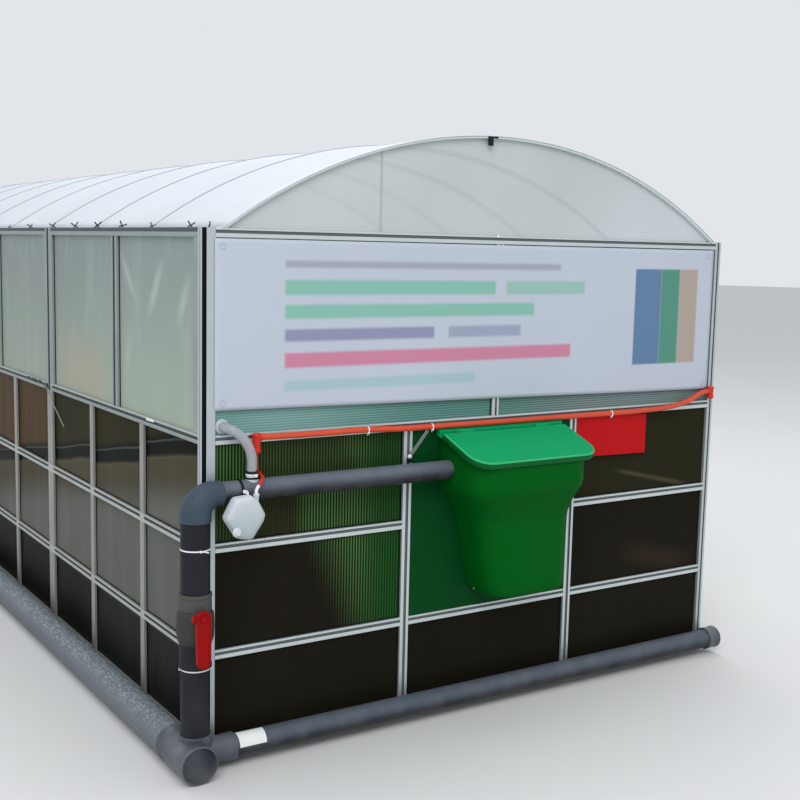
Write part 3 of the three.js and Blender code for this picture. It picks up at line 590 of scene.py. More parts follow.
class Solid:
    """Closed parts of one piece, gathered as points and faces."""

    def __init__(self):
        self.points = []
        self.faces = []
        self.slots = []

    def skin(self, rings, slots=0, closed=False, bands=None):
        """Joins rings of points into a closed body. Slots is a material index, or one for each ring edge.

        Bands is a material index for each step from one ring to the next."""
        first = len(self.points)
        count = len(rings[0])
        for ring in rings:
            self.points.extend(ring)
        edges = slots if isinstance(slots, list) else [slots] * count
        for level in range(len(rings) if closed else len(rings) - 1):
            low = first + level * count
            high = first + (level + 1) % len(rings) * count
            for i in range(count):
                j = (i + 1) % count
                self.faces.append((low + i, low + j, high + j, high + i))
                self.slots.append(bands[level] if bands else edges[i])
        if not closed:
            last = first + (len(rings) - 1) * count
            self.faces.append(tuple(reversed(range(first, first + count))))
            self.faces.append(tuple(range(last, last + count)))
            self.slots += [edges[0], edges[0]]

    def build(self, name, finishes, sharp=35):
        mesh = bpy.data.meshes.new(name)
        mesh.from_pydata(self.points, [], self.faces)
        for finish in finishes:
            mesh.materials.append(finish)
        mesh.polygons.foreach_set("material_index", self.slots)
        outward = bmesh.new()
        outward.from_mesh(mesh)
        bmesh.ops.recalc_face_normals(outward, faces=outward.faces)
        outward.to_mesh(mesh)
        outward.free()
        mesh.shade_smooth()
        mesh.set_sharp_from_angle(angle=math.radians(sharp))
        return add_object(name, mesh)


def add_object(name, mesh):
    piece = bpy.data.objects.new(name, mesh)
    bpy.context.scene.collection.objects.link(piece)
    return piece


def settle(piece, slot, *nodes, body="structure"):
    """The piece rides on its body and stands for the nodes. Its slot is not used."""
    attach(piece, body)
    if nodes:
        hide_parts(*nodes)
    return piece


def dress(finish, *nodes):
    """Nodes of the frame that stay as they are get a finish."""
    for node in nodes:
        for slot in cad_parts[node].material_slots:
            slot.material = finish


def thicken(piece, thickness, offset):
    """A live wall for an open sheet. The offset is 0 for both ways and -1 for inwards."""
    wall = piece.modifiers.new("thickness", "SOLIDIFY")
    wall.thickness = thickness
    wall.offset = offset


def side_directions(along):
    across = X.copy() if abs(along.z) > 0.9 else Z.cross(along).normalized()
    return across, along.cross(across)


def circle(centre, radius, across, up, sides):
    turns = [2 * math.pi * i / sides for i in range(sides)]
    return [centre + radius * (math.cos(turn) * across + math.sin(turn) * up) for turn in turns]


def square(centre, across, up):
    """The four corners of a square or oblong, from its two half sides."""
    return [centre + a * across + b * up for a, b in ((-1, -1), (1, -1), (1, 1), (-1, 1))]


def barrel(solid, start, along, profile, slot=0, sides=48, closed=False):
    """A round body about a line. Its profile is a list of (distance from the start, radius)."""
    across, up = side_directions(along)
    rings = [circle(start + distance * along, radius, across, up, sides) for distance, radius in profile]
    solid.skin(rings, slot, closed)


def block(solid, first, second, slot=0, ease=0.001):
    """A box between two corners, with its four long edges eased."""
    low = Vector(map(min, first, second))
    size = Vector(map(max, first, second)) - low
    axis = max(range(3), key=lambda i: size[i])
    a, b = (axis + 1) % 3, (axis + 2) % 3
    wide, tall = size[a], size[b]
    e = min(ease, wide / 3, tall / 3)
    outline = [(e, 0), (wide - e, 0), (wide, e), (wide, tall - e), (wide - e, tall), (e, tall),
               (0, tall - e), (0, e)]
    rings = []
    for run in (0, size[axis]):
        ring = []
        for u, v in outline:
            point = low.copy()
            point[axis] += run
            point[a] += u
            point[b] += v
            ring.append(point)
        rings.append(ring)
    solid.skin(rings, slot)


def rounded(corners, radii, inset=0.0, steps=6):
    """A convex outline, counterclockwise, drawn in by an inset and with an arc at each corner."""
    points = []
    count = len(corners)
    places = [Vector(corner) for corner in corners]
    for i, corner in enumerate(places):
        before = (corner - places[i - 1]).normalized()
        after = (places[(i + 1) % count] - corner).normalized()
        out_before, out_after = Vector((before.y, -before.x)), Vector((after.y, -after.x))
        radius = max(radii[i] - inset, 0.0004)
        facing = out_before.dot(out_after)
        lean = (out_before + out_after) / (1 + facing)
        centre = corner - lean * (inset + radius)
        first = math.atan2(out_before.y, out_before.x)
        sweep = math.atan2(out_before.x * out_after.y - out_before.y * out_after.x, facing)
        for step in range(steps + 1):
            turn = first + sweep * step / steps
            points.append(centre + radius * Vector((math.cos(turn), math.sin(turn))))
    return points


def stack(solid, outline, levels, place, bands=None):
    """A body through copies of an outline. Each level is (inset, height). Place puts a point in space."""
    solid.skin([[place(point.x, point.y, height) for point in outline(inset)] for inset, height in levels],
               bands=bands)


def eased(s, low, leave, high, reach):
    """A smooth step from low to high, which leaves and reaches them with the given slopes."""
    return ((2 * s ** 3 - 3 * s ** 2 + 1) * low + (s ** 3 - 2 * s ** 2 + s) * leave
            + (3 * s ** 2 - 2 * s ** 3) * high + (s ** 3 - s ** 2) * reach)


def curve_through(points, steps=8):
    """Points along a smooth curve through the given ones, closest together where the route bends."""
    route = [Vector(point) for point in points]
    route = [2 * route[0] - route[1]] + route + [2 * route[-1] - route[-2]]
    smooth = []
    for i in range(1, len(route) - 2):
        p0, p1, p2, p3 = route[i - 1:i + 3]
        t0, t1, t2 = (math.sqrt((b - a).length) for a, b in ((p0, p1), (p1, p2), (p2, p3)))
        leave = ((p1 - p0) / t0 - (p2 - p0) / (t0 + t1) + (p2 - p1) / t1) * t1
        reach = ((p2 - p1) / t1 - (p3 - p1) / (t1 + t2) + (p3 - p2) / t2) * t1
        smooth += [eased(step / steps, p1, leave, p2, reach) for step in range(steps)]
    return smooth + [route[-2]]


def tube(solid, route, radius, slot=0, sides=24, bore=0.0):
    """A round tube along a route, turned as little as possible from one ring to the next.

    Radius is a number, or a list with one for each point of the route."""
    last = len(route) - 1
    radii = radius if isinstance(radius, list) else [radius] * len(route)
    heading = (route[1] - route[0]).normalized()
    across, up = side_directions(heading)
    outer, inner = [], []
    for i, point in enumerate(route):
        ahead = (route[min(i + 1, last)] - route[max(i - 1, 0)]).normalized()
        turn = heading.rotation_difference(ahead)
        across = turn @ across
        up = turn @ up
        heading = ahead
        outer.append(circle(point, radii[i], across, up, sides))
        if bore:
            inner.append(circle(point, bore, across, up, sides))
    solid.skin(outer + inner[::-1], slot, closed=bool(bore))


def on_face(corners, u, v):
    """The point at shares u and v between four corners, as x and height."""
    low = Vector(corners[0]).lerp(Vector(corners[1]), u)
    high = Vector(corners[3]).lerp(Vector(corners[2]), u)
    return low.lerp(high, v)


class Wall:
    """One wall face: a run along it, a height, and a depth inwards from the face."""

    def __init__(self, out, face):
        self.out = Vector(out)
        self.face = face

    def at(self, run, height, depth=0.0):
        place = (run, self.face, height) if self.out.y else (self.face, run, height)
        return Vector(place) - depth * self.out

    def bar(self, solid, start, end, width, depth, grooves):
        along = (end - start).normalized()
        across = along.cross(self.out)
        half = width / 2
        groove = GROOVE_SHARE * width / max(grooves, 1)
        rise = GROOVE_RISE * across.z if grooves == 1 else 0.0
        section = [(-half, -depth), (-half, -EASE), (EASE - half, 0)]
        slots = [0, 0, 0]
        for i in range(grooves):
            middle = width * ((i + 0.5) / grooves - 0.5 + rise)
            left, right = middle - groove / 2, middle + groove / 2
            section += [(left, 0), (left, -GROOVE_DEPTH), (right, -GROOVE_DEPTH), (right, 0)]
            slots += [1, 1, 1, 0]
        section += [(half - EASE, 0), (half, -EASE), (half, -depth)]
        slots += [0, 0, 0]
        rings = [[place + u * across + v * self.out for u, v in section] for place in (start, end)]
        solid.skin(rings, slots)

    def plate(self, solid, run, heights, depths, slot=0, ease=0.001):
        block(solid, self.at(run[0], heights[0], depths[0]), self.at(run[1], heights[1], depths[1]),
              slot, ease)

    def level(self, solid, run, heights, depth, grooves=1):
        """A level bar. A shallow one is glazed into the sheet, with a black gasket on each side: a real seal
        that also stands in for the shade line beside the bar.
        """
        low, high = heights
        middle = (low + high) / 2
        self.bar(solid, self.at(run[0], middle), self.at(run[1], middle), high - low, depth, grooves)
        if depth == BAR_DEPTH:
            for gasket in ((low, low - GASKET), (high, high + GASKET)):
                self.plate(solid, run, gasket, GASKET_DEPTH, 2, GASKET_EASE)

    def upright(self, solid, run, heights, depth, grooves=1):
        """An upright bar, with gaskets like a level one's."""
        left, right = run
        middle = (left + right) / 2
        self.bar(solid, self.at(middle, heights[0]), self.at(middle, heights[1]), right - left, depth,
                 grooves)
        if depth == BAR_DEPTH:
            for gasket in ((left, left - GASKET), (right, right + GASKET)):
                self.plate(solid, gasket, heights, GASKET_DEPTH, 2, GASKET_EASE)

    def rows(self, solid, edges, open_bay=None):
        """Two rows of level bars across three bays, without the bar of an open bay."""
        for row in (1, 2):
            heights = (row * ROW - RAIL / 2, row * ROW + RAIL / 2)
            for bay in range(3):
                if (row, bay) != open_bay:
                    self.level(solid, edges[2 * bay:2 * bay + 2], heights, BAR_DEPTH)


WALLS = {
    "front": Wall((0, -1, 0), 0.0),
    "rear": Wall((0, 1, 0), LENGTH),
    "left": Wall((-1, 0, 0), -HALF_WIDTH),
    "right": Wall((1, 0, 0), HALF_WIDTH),
}


def add_corner_posts(finishes):
    """Square posts with an open groove at the outer corner, its faces painted black as shade, and a fine line
    down the side face.
    """
    low, high, deep = POST_NOTCH, POST, GROOVE_DEPTH
    middle = (low + high) / 2
    near, far = middle - POST_SEAM, middle + POST_SEAM
    for end, face, inward in ENDS:
        for side, sign, half, cut, slot in (("left", -1, POST_SEAM, 0, 0), ("right", 1, POST_SLOT, deep, 1)):
            section = [(low, EASE), (low + EASE, 0), (middle - half, 0), (middle - half, cut),
                       (middle + half, cut), (middle + half, 0), (high - EASE, 0), (high, EASE),
                       (high, high), (EASE, high), (0, high - EASE), (0, far), (deep, far),
                       (deep, near), (0, near), (0, low + EASE), (EASE, low), (low, low)]
            # Slot 2 paints the open corner groove's faces black: painted shade.
            slots = [0, 0, slot, slot, slot] + [0] * 6 + [1, 1, 1, 0, 0, 2, 2]
            solid = Solid()
            solid.skin([[Vector((sign * (HALF_WIDTH - u), face + inward * v, height)) for u, v in section]
                        for height in (0.0, WALL_HEIGHT)], slots)
            post = solid.build(f"post_{end}_{side}", finishes, 25)
            settle(post, "aluminium_frame", f"corner_post_{end}_{side}")


def add_end_frames(finishes):
    """Sill, rails and glazing bars of the two end walls. The hopper takes the front's middle bay."""
    half = BAR / 2
    edges = [-INNER_X, -BAY_X - half, half - BAY_X, BAY_X - half, BAY_X + half, INNER_X]
    across = (-INNER_X, INNER_X)
    for end in ("front", "rear"):
        wall = WALLS[end]
        solid = Solid()
        wall.plate(solid, across, (0, SILL), (-SILL_LIP, RAIL_DEPTH))
        wall.level(solid, across, (SILL, BASE_RAIL), RAIL_DEPTH, 2)
        wall.level(solid, across, (MID_RAIL_FOOT, MID_RAIL_TOP), RAIL_DEPTH)
        wall.level(solid, across, (TOP_RAIL_FOOT, WALL_HEIGHT), POST)
        wall.upright(solid, (-MULLION / 2, MULLION / 2), (MID_RAIL_TOP, TOP_RAIL_FOOT), BAR_DEPTH)
        for x in (-BAY_X, BAY_X):
            wall.upright(solid, (x - half, x + half), (BASE_RAIL, MID_RAIL_FOOT), BAR_DEPTH)
        wall.rows(solid, edges, open_bay=(2, 1) if end == "front" else None)
        settle(solid.build(f"{end}_bars", finishes, 25), "aluminium_frame", f"{end}_frame")


def add_side_module(side, index, finishes):
    """Rails, glazing bars and the joint post of one module of a side wall."""
    wall = WALLS[side]
    half = BAR / 2
    is_first, is_last = index == 0, index == MODULE_COUNT - 1
    start = POST + GAP if is_first else index * MODULE + SIDE_POST / 2 + GAP
    stop = LENGTH - POST - GAP if is_last else (index + 1) * MODULE - SIDE_POST / 2
    run, joint = (start, stop), (stop, stop + SIDE_POST)
    eave_foot = WALL_HEIGHT - EAVE_STRIP
    solid = Solid()
    wall.level(solid, run, (0, BASE_RAIL), RAIL_DEPTH, 2)
    wall.level(solid, run, (MID_RAIL_FOOT, MID_RAIL_TOP), RAIL_DEPTH)
    wall.level(solid, run, (TOP_RAIL_FOOT, eave_foot), RAIL_DEPTH, 0)
    # The eave strip takes the groove shade: a painted shade strip under the film's edge.
    wall.plate(solid, run, (eave_foot, WALL_HEIGHT), (EAVE_STRIP_INSET, RAIL_DEPTH), 1)
    wall.plate(solid, (start, stop if is_last else stop + SIDE_POST),
               (WALL_HEIGHT - EAVE_PLATE, WALL_HEIGHT), (RAIL_DEPTH, EAVE_DEPTH))
    edges = [start]
    for third in (1, 2):
        y = (index + third / 3) * MODULE
        wall.upright(solid, (y - half, y + half), (BASE_RAIL, MID_RAIL_FOOT), BAR_DEPTH, 0)
        edges += [y - half, y + half]
    wall.rows(solid, edges + [stop])
    y = (index + 0.5) * MODULE
    upper = (MID_RAIL_TOP, TOP_RAIL_FOOT)
    wall.upright(solid, (y - SIDE_MULLION / 2, y + SIDE_MULLION / 2), upper, BAR_DEPTH)
    near_jamb = CORNER_JAMB if is_first else JOINT_JAMB
    far_jamb = CORNER_JAMB if is_last else JOINT_JAMB
    wall.upright(solid, (start, start + near_jamb), upper, BAR_DEPTH, 0)
    wall.upright(solid, (stop - far_jamb, stop), upper, BAR_DEPTH, 0)
    if not is_last:
        wall.upright(solid, joint, (0, MID_RAIL_FOOT), BAR_DEPTH, 0)
        wall.upright(solid, joint, (MID_RAIL_FOOT, WALL_HEIGHT), BAR_DEPTH, 1)
        wall.plate(solid, joint, (0, WALL_HEIGHT), INNER_POST)
    piece = solid.build(f"{side}_bars_{index + 1}", finishes, 25)
    settle(piece, "aluminium_frame", f"{side}_frame_{index + 1}")


class Grower(Nodes):
    """A geometry node tree with named sizes, run once to give a plain mesh."""

    def __init__(self, name):
        self.name = name
        super().__init__(bpy.data.node_groups.new(name, "GeometryNodeTree"))
        for direction in ("INPUT", "OUTPUT"):
            self.tree.interface.new_socket(name="Geometry", in_out=direction,
                                           socket_type="NodeSocketGeometry")
        self.entry = self.tree.nodes.new("NodeGroupInput")
        self.sizes = {}

    def size(self, label, value):
        kind = "NodeSocketInt" if isinstance(value, int) else "NodeSocketFloat"
        socket = self.tree.interface.new_socket(name=label, in_out="INPUT", socket_type=kind)
        self.sizes[socket.identifier] = value
        return self.entry.outputs[label]

    def vector(self, x=0.0, y=0.0, z=0.0):
        return self.out("ShaderNodeCombineXYZ", {0: x, 1: y, 2: z})

    def moved(self, geometry, **settings):
        inputs = {word.title(): value for word, value in settings.items()}
        return self.out("GeometryNodeTransform", {"Geometry": geometry, **inputs})

    def swept(self, curve, section):
        """A closed body of one section along a curve."""
        return self.out("GeometryNodeCurveToMesh",
                        {"Curve": curve, "Profile Curve": section, "Fill Caps": True})

    def joined(self, *geometries):
        join = self.node("GeometryNodeJoinGeometry")
        for geometry in geometries:
            self.tree.links.new(geometry, join.inputs[0])
        return join.outputs[0]

    def copied(self, shape, **settings):
        """Copies of a shape on the seed points."""
        points = self.out("GeometryNodeMeshToPoints", {"Mesh": self.entry.outputs[0]})
        inputs = {word.title(): value for word, value in settings.items()}
        return self.out("GeometryNodeInstanceOnPoints", {"Points": points, "Instance": shape, **inputs})

    def grow(self, geometry, finish, seeds=()):
        """Runs the tree on a mesh of seed points and returns the result."""
        real = self.out("GeometryNodeRealizeInstances", {"Geometry": geometry})
        painted = self.out("GeometryNodeSetMaterial", {"Geometry": real, "Material": finish})
        leave = self.tree.nodes.new("NodeGroupOutput")
        self.tree.links.new(painted, leave.inputs[0])
        carrier_mesh = bpy.data.meshes.new(self.name)
        carrier_mesh.from_pydata(list(seeds), [], [])
        carrier = add_object(self.name + "_carrier", carrier_mesh)
        growth = carrier.modifiers.new(self.name, "NODES")
        growth.node_group = self.tree
        for identifier, value in self.sizes.items():
            growth[identifier] = value
        evaluated = carrier.evaluated_get(bpy.context.evaluated_depsgraph_get())
        mesh = bpy.data.meshes.new_from_object(evaluated)
        mesh.name = self.name
        bpy.data.objects.remove(carrier)
        return add_object(self.name, mesh)


def add_roof_film(finish):
    """The film over the hoops: an arch that dips a little between the hoops and the purlins."""
    grower = Grower("film_cover")
    span = grower.size("Length", LENGTH + 2 * ROOF_OVERHANG)
    middle = grower.size("Middle", LENGTH / 2)
    radius = grower.size("Radius", ROOF_RADIUS + FILM)
    centre = grower.size("Centre", ROOF_CENTRE)
    reach = grower.size("Reach", ROOF_REACH)
    spacing = grower.size("Hoop Spacing", HOOP_SPACING)
    sag = grower.size("Sag", FILM_SAG)
    last_hoop = grower.size("Last Hoop", HOOP_SPACING * HOOP_COUNT)

    def dip_between(turns):
        """0 on each bar and 1 halfway to the next."""
        return grower.math("POWER", grower.math("ABSOLUTE", grower.math("SINE", turns)), 1.3)

    # The grid runs from -1 to 1 across the roof, and along its length.
    grid = grower.out("GeometryNodeMeshGrid",
                      {"Size X": 2.0, "Size Y": span, "Vertices X": 57, "Vertices Y": 175})
    place = grower.out("GeometryNodeInputPosition")
    across, length = grower.node("ShaderNodeSeparateXYZ", {0: place}).outputs[:2]
    along = grower.plus(length, middle)
    hoop_dip = dip_between(grower.times(grower.math("DIVIDE", along, spacing), math.pi))
    purlin_dip = dip_between(grower.times(across, 2 * math.pi))
    tight_start = grower.out("ShaderNodeMapRange", {0: along, 1: HOOP_INSET, 2: 0.2})
    tight_end = grower.math("LESS_THAN", along, last_hoop)
    dip = grower.times(hoop_dip, purlin_dip, sag, tight_start, tight_end)
    drawn = grower.math("SUBTRACT", radius, dip)
    angle = grower.times(across, reach)
    x = grower.times(drawn, grower.math("SINE", angle))
    z = grower.plus(centre, grower.times(drawn, grower.math("COSINE", angle)))
    arched = grower.out("GeometryNodeSetPosition",
                        {"Geometry": grid, "Position": grower.vector(x, along, z)})
    film = grower.grow(arched, finish)
    film.data.shade_smooth()
    thicken(film, FILM, -1)
    settle(film, "roof_film", "roof_film")


def add_hold_wires(finish):
    """A wire over the film at each hoop, from eave to eave."""
    grower = Grower("hold_wires")
    radius = grower.size("Radius", ROOF_RADIUS + FILM + HOLD_WIRE)
    wire = grower.size("Wire", HOLD_WIRE)
    spacing = grower.size("Hoop Spacing", HOOP_SPACING)
    reach = grower.size("Reach", ROOF_REACH)
    centre = grower.size("Centre", ROOF_CENTRE)
    count = grower.size("Count", HOOP_COUNT)
    arc = grower.out("GeometryNodeCurveArc",
                     {"Resolution": 72, "Radius": radius, "Sweep Angle": grower.times(reach, 2.0),
                      "Start Angle": grower.math("SUBTRACT", math.pi / 2, reach)})
    section = grower.out("GeometryNodeCurvePrimitiveCircle", {"Resolution": 8, "Radius": wire})
    upright = grower.moved(grower.swept(arc, section), translation=grower.vector(z=centre),
                           rotation=(math.pi / 2, 0, 0))
    step = grower.vector(y=spacing)
    row = grower.out("GeometryNodeMeshLine", {"Count": count, "Start Location": step, "Offset": step})
    copies = grower.out("GeometryNodeInstanceOnPoints", {"Points": row, "Instance": upright})
    settle(grower.grow(copies, finish), "galvanised_steel")


def add_wire_tails(finish):
    """Twisted wire ends that stand along both eaves, two to each hoop."""
    grower = Grower("wire_tails")
    wire = grower.size("Wire", 0.0025)
    height = grower.size("Height", 0.020)
    lean = grower.size("Lean", 0.012)
    seed = grower.size("Seed", 11)
    section = grower.out("GeometryNodeCurvePrimitiveCircle", {"Resolution": 6, "Radius": wire})
    limbs = []
    for sign in (1, -1):
        foot = grower.vector(x=grower.times(lean, -0.7 * sign))
        bend = grower.vector(x=0.002 * sign, z=grower.times(height, 0.45))
        tip = grower.vector(x=grower.times(lean, sign), y=0.004 * sign, z=height)
        bow = grower.out("GeometryNodeCurveQuadraticBezier",
                         {"Resolution": 7, "Start": foot, "Middle": bend, "End": tip})
        limbs.append(grower.swept(bow, section))
    twist = grower.out("FunctionNodeRandomValue",
                       {0: (-0.5, -0.5, -1.2), 1: (0.5, 0.5, 1.2), "Seed": seed}, data_type="FLOAT_VECTOR")
    grown = grower.node("FunctionNodeRandomValue", {2: 0.6, 3: 1.2, "Seed": seed}, data_type="FLOAT")
    copies = grower.copied(grower.joined(*limbs), rotation=twist, scale=grown.outputs[1])
    seeds = []
    for side in (-1, 1):
        for i in range(1, 2 * HOOP_COUNT + 1):
            jitter = TAIL_JITTER * math.sin(7.3 * i + side)
            seeds.append((side * TAIL_X, i * HOOP_SPACING / 2 - TAIL_SHIFT + jitter, WALL_HEIGHT))
        seeds.append((side * TAIL_X, 0.06, WALL_HEIGHT))
    tails = grower.grow(copies, finish, seeds)
    tails.data.shade_smooth()
    settle(tails, "galvanised_steel")


def add_gable_trims(pale, dark):
    """A pale edge channel under the film at each gable, and the joint strip of the gable sheets."""
    section = ((0.0006, -0.006), (0.0006, 0.009), (0.006, 0.009), (0.007, 0.008), (0.007, -0.005),
               (0.006, -0.006))
    joint_top = ROOF_CENTRE + math.sqrt((ROOF_RADIUS - 0.010) ** 2 - GABLE_JOINT_X ** 2)
    for end, face, inward in ENDS:
        channel = Solid()
        rings = []
        for step in range(73):
            turn = ROOF_REACH * (step / 36 - 1)
            rings.append([Vector(((ROOF_RADIUS - inset) * math.sin(turn), face + inward * depth,
                                  ROOF_CENTRE + (ROOF_RADIUS - inset) * math.cos(turn)))
                          for inset, depth in section])
        channel.skin(rings)
        settle(channel.build(f"{end}_gable_channel", [pale]), "roof_film")
        strip = Solid()
        block(strip, Vector((GABLE_JOINT_X - GABLE_JOINT_HALF, face + inward * 0.0085, WALL_HEIGHT + 0.001)),
              Vector((GABLE_JOINT_X + GABLE_JOINT_HALF, face + inward * 0.0099, joint_top)))
        settle(strip.build(f"{end}_gable_joint", [dark]), "gable_sheet")


def add_banner(finish, ring_finish):
    """The banner stretched over the front frame, with an eyelet at each corner."""
    wide, tall = 150, 40
    points, faces = [], []
    for j in range(tall + 1):
        for i in range(wide + 1):
            u, v = i / wide, j / tall
            place = on_face(BANNER_CORNERS, u, v)
            pull = math.sin(math.pi * u) ** 0.5 * math.sin(math.pi * v) ** 0.5
            wave = math.sin(9.0 * u + 2.0 * v) + 0.6 * math.sin(23.0 * u - 3.0 * v) + 0.4 * math.sin(5.0 * v)
            points.append((place.x, BANNER_Y - BANNER_WAVE * pull * wave, place.y))
    for j in range(tall):
        for i in range(wide):
            first = j * (wide + 1) + i
            faces.append((first, first + 1, first + wide + 2, first + wide + 1))
    mesh = bpy.data.meshes.new("banner_cloth")
    mesh.from_pydata(points, [], faces)
    mesh.materials.append(finish)
    mesh.shade_smooth()
    cloth = add_object("banner_cloth", mesh)
    thicken(cloth, BANNER_CLOTH, 0)
    settle(cloth, "vinyl", "banner")
    rings = Solid()
    ring = [(0, 0.0062), (-0.0008, 0.0085), (-0.0008, 0.0105), (0, 0.0118), (0.0022, 0.0118),
            (0.0022, 0.0062)]
    for u in (0.012, 0.988):
        for v in (0.045, 0.955):
            place = on_face(BANNER_CORNERS, u, v)
            barrel(rings, Vector((place.x, -0.0034, place.y)), Y, ring, sides=28, closed=True)
    eyelets = settle(rings.build("banner_eyelets", [ring_finish]), "galvanised_steel")


def add_sign(finish):
    """The bare red sign, a thin plate that bows a little off the rail."""
    columns = 24
    rings = []
    for i in range(columns + 1):
        u = i / columns
        low, high = on_face(SIGN_CORNERS, u, 0), on_face(SIGN_CORNERS, u, 1)
        near = SIGN_Y - SIGN_BOW * math.sin(math.pi * u)
        far = near + SIGN_THICKNESS
        rings.append([Vector((low.x, near, low.y)), Vector((high.x, near, high.y)),
                      Vector((high.x, far, high.y)), Vector((low.x, far, low.y))])
    solid = Solid()
    solid.skin(rings)
    settle(solid.build("sign_plate", [finish]), "red_plastic", "feed_sign")


def hopper_section(height):
    """Left, right, front and corner of the hopper at a height, eased from one section to the next."""
    heights = [section[0] for section in HOPPER_SECTIONS]
    last = len(heights) - 2
    i = min(max(sum(height >= h for h in heights) - 1, 0), last)
    run = heights[i + 1] - heights[i]
    values = []
    for column in range(1, 5):
        sizes = [section[column] for section in HOPPER_SECTIONS]
        slopes = [(sizes[k + 1] - sizes[k]) / (heights[k + 1] - heights[k]) for k in range(last + 1)]

        def tangent(k):
            if k in (0, last + 1):
                return slopes[min(k, last)]
            before, after = slopes[k - 1], slopes[k]
            return 2 * before * after / (before + after) if before * after > 0 else 0.0

        values.append(eased((height - heights[i]) / run, sizes[i], run * tangent(i), sizes[i + 1],
                            run * tangent(i + 1)))
    return values


def lid_plane(y, drop=0.0):
    """Height of the lid's top at a place behind or before its hinge, less a drop through its thickness."""
    return HINGE.z + (LID_TOP - drop) / math.cos(LID_SLOPE) + (y - HINGE.y) * math.tan(LID_SLOPE)


def lid_seat(y):
    """Height of the plane that the lid rests on."""
    return lid_plane(y, LID_THICKNESS) - GAP


def add_hopper_body(finish):
    """The hopper: a smooth tub with a floor, a shoulder under the rim and a rolled top edge."""
    foot = HOPPER_SECTIONS[0][0]

    def ring(share, inset, lift=0.0):
        """Share runs from the foot at 0 to the shoulder at 1 and the lid seat at 2."""
        level = foot + share * (SHOULDER - foot) if share <= 1 else SHOULDER
        left, right, front, corner = hopper_section(level)
        outline = rounded([(left, front), (right, front), (right, HOPPER_BACK), (left, HOPPER_BACK)],
                          [corner, corner, 0.002, 0.002], inset, 9)
        rise = max(share - 1, 0)
        return [Vector((point.x, point.y, level + rise * (lid_seat(point.y) - SHOULDER) + lift))
                for point in outline]

    shares = [i / 24 for i in range(1, 25)] + [1 + i / 6 for i in range(1, 6)]
    foot_shares = [i / 240 for i in range(1, 10)]
    rings = [ring(0, 0.020, -0.0002), ring(0, 0.010, 0.0), ring(0, 0.003, 0.0004), ring(0, 0.0, 0.0012)]
    rings += [ring(share, 0.0) for share in foot_shares + shares]
    rings += [ring(2, 0.0, -0.003), ring(2, 0.001, -0.0006), ring(2, 0.0025, 0.0)]
    rings += [ring(2, HOPPER_WALL - 0.001, -0.0006), ring(2, HOPPER_WALL, -0.003)]
    rings += [ring(share, HOPPER_WALL) for share in reversed(shares)]
    rings += [ring(0, HOPPER_WALL, 0.010), ring(0, HOPPER_WALL + 0.004, 0.006)]
    solid = Solid()
    solid.skin(rings)
    settle(solid.build("hopper_tub", [finish], 40), "green_plastic", "hopper_body")


def add_hopper_lid(finishes):
    """The lid: a plate with a painted highlight on its rounded rim, a skirt and a hollow underside in painted
    shade, and two hinge knuckles.
    """
    corners = [(LID_LEFT, -LID_DEPTH), (LID_RIGHT, -LID_DEPTH), (LID_RIGHT, -LID_BACK), (LID_LEFT, -LID_BACK)]
    radii = [LID_CORNER, LID_CORNER, 0.006, 0.006]
    tilt = Matrix.Rotation(LID_SLOPE, 3, "X")

    def to_hinge(x, y, z):
        return tilt @ Vector((x, y, z)) + Vector((0, HINGE.y, HINGE.z))

    def outline(inset):
        return rounded(corners, radii, inset, 12)

    levels = [(0.050, -0.0006), (0.020, -0.0008), (0.0135, -0.0012), (0.0105, -0.0003), (0.0060, 0.0),
              (0.0025, -0.0012), (0.0006, -0.0040), (0.0, -0.0080), (0.0, -0.0215), (0.0012, -0.0240),
              (0.0040, -0.0240), (0.0052, -0.0215), (0.0060, -0.0080), (0.0090, -0.0066), (0.050, -0.0064)]
    # Bands of the top, then of the rounded rim in painted highlight, then of the skirt and underside in
    # painted shade.
    bands = [0] * 4 + [1] * 2 + [2] * 8
    solid = Solid()
    stack(solid, outline, [(inset, LID_TOP + height) for inset, height in levels], to_hinge, bands)
    middle = (LID_LEFT + LID_RIGHT) / 2
    length = 2 * KNUCKLE_HALF
    knuckle = [(0, PIN_HOLE), (0, KNUCKLE_RADIUS - 0.001), (0.001, KNUCKLE_RADIUS),
               (length - 0.001, KNUCKLE_RADIUS), (length, KNUCKLE_RADIUS - 0.001), (length, PIN_HOLE)]
    web = [(-0.0135, -0.0065), (-0.0050, -0.0065), (-0.0050, 0.0015), (-0.0135, 0.0015)]
    for x in (middle - KNUCKLE_OFFSET, middle + KNUCKLE_OFFSET):
        ends = (x - KNUCKLE_HALF, x + KNUCKLE_HALF)
        barrel(solid, Vector((ends[0], HINGE.y, HINGE.z)), X, knuckle, sides=32, closed=True)
        solid.skin([[to_hinge(end, y, z) for y, z in web] for end in ends])
    settle(solid.build("lid_shell", finishes, 40), "green_plastic", "hopper_lid", body="lid")


def add_rear_rail(finishes):
    """The fixed rail behind the lid, level with it, with a pale line along its rear top edge."""
    low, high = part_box("hopper_rear_rail")
    front, back = low.y, high.y
    # Each point is a place from front to back and its drop below the plane of the lid's top.
    outline = [(front, LID_THICKNESS), (front, 0.002), (front + 0.002, 0.0), (back - RAIL_LINE, 0.0),
               (back - 0.001, 0.0), (back, 0.001), (back, LID_THICKNESS)]
    solid = Solid()
    solid.skin([[Vector((x, y, lid_plane(y, drop))) for y, drop in outline] for x in (low.x, high.x)],
               [0, 0, 0, 1, 1, 0, 0])
    settle(solid.build("rear_rail", finishes, 30), "green_plastic", "hopper_rear_rail")


def straight(node, axis):
    """Start, direction, length and radius of a straight round pipe of the frame."""
    low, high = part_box(node)
    along = Vector((0, 0, 0))
    along[axis] = 1
    start = (low + high) / 2
    start[axis] = low[axis]
    across = (axis + 1) % 3
    return start, along, high[axis] - low[axis], (high[across] - low[across]) / 2


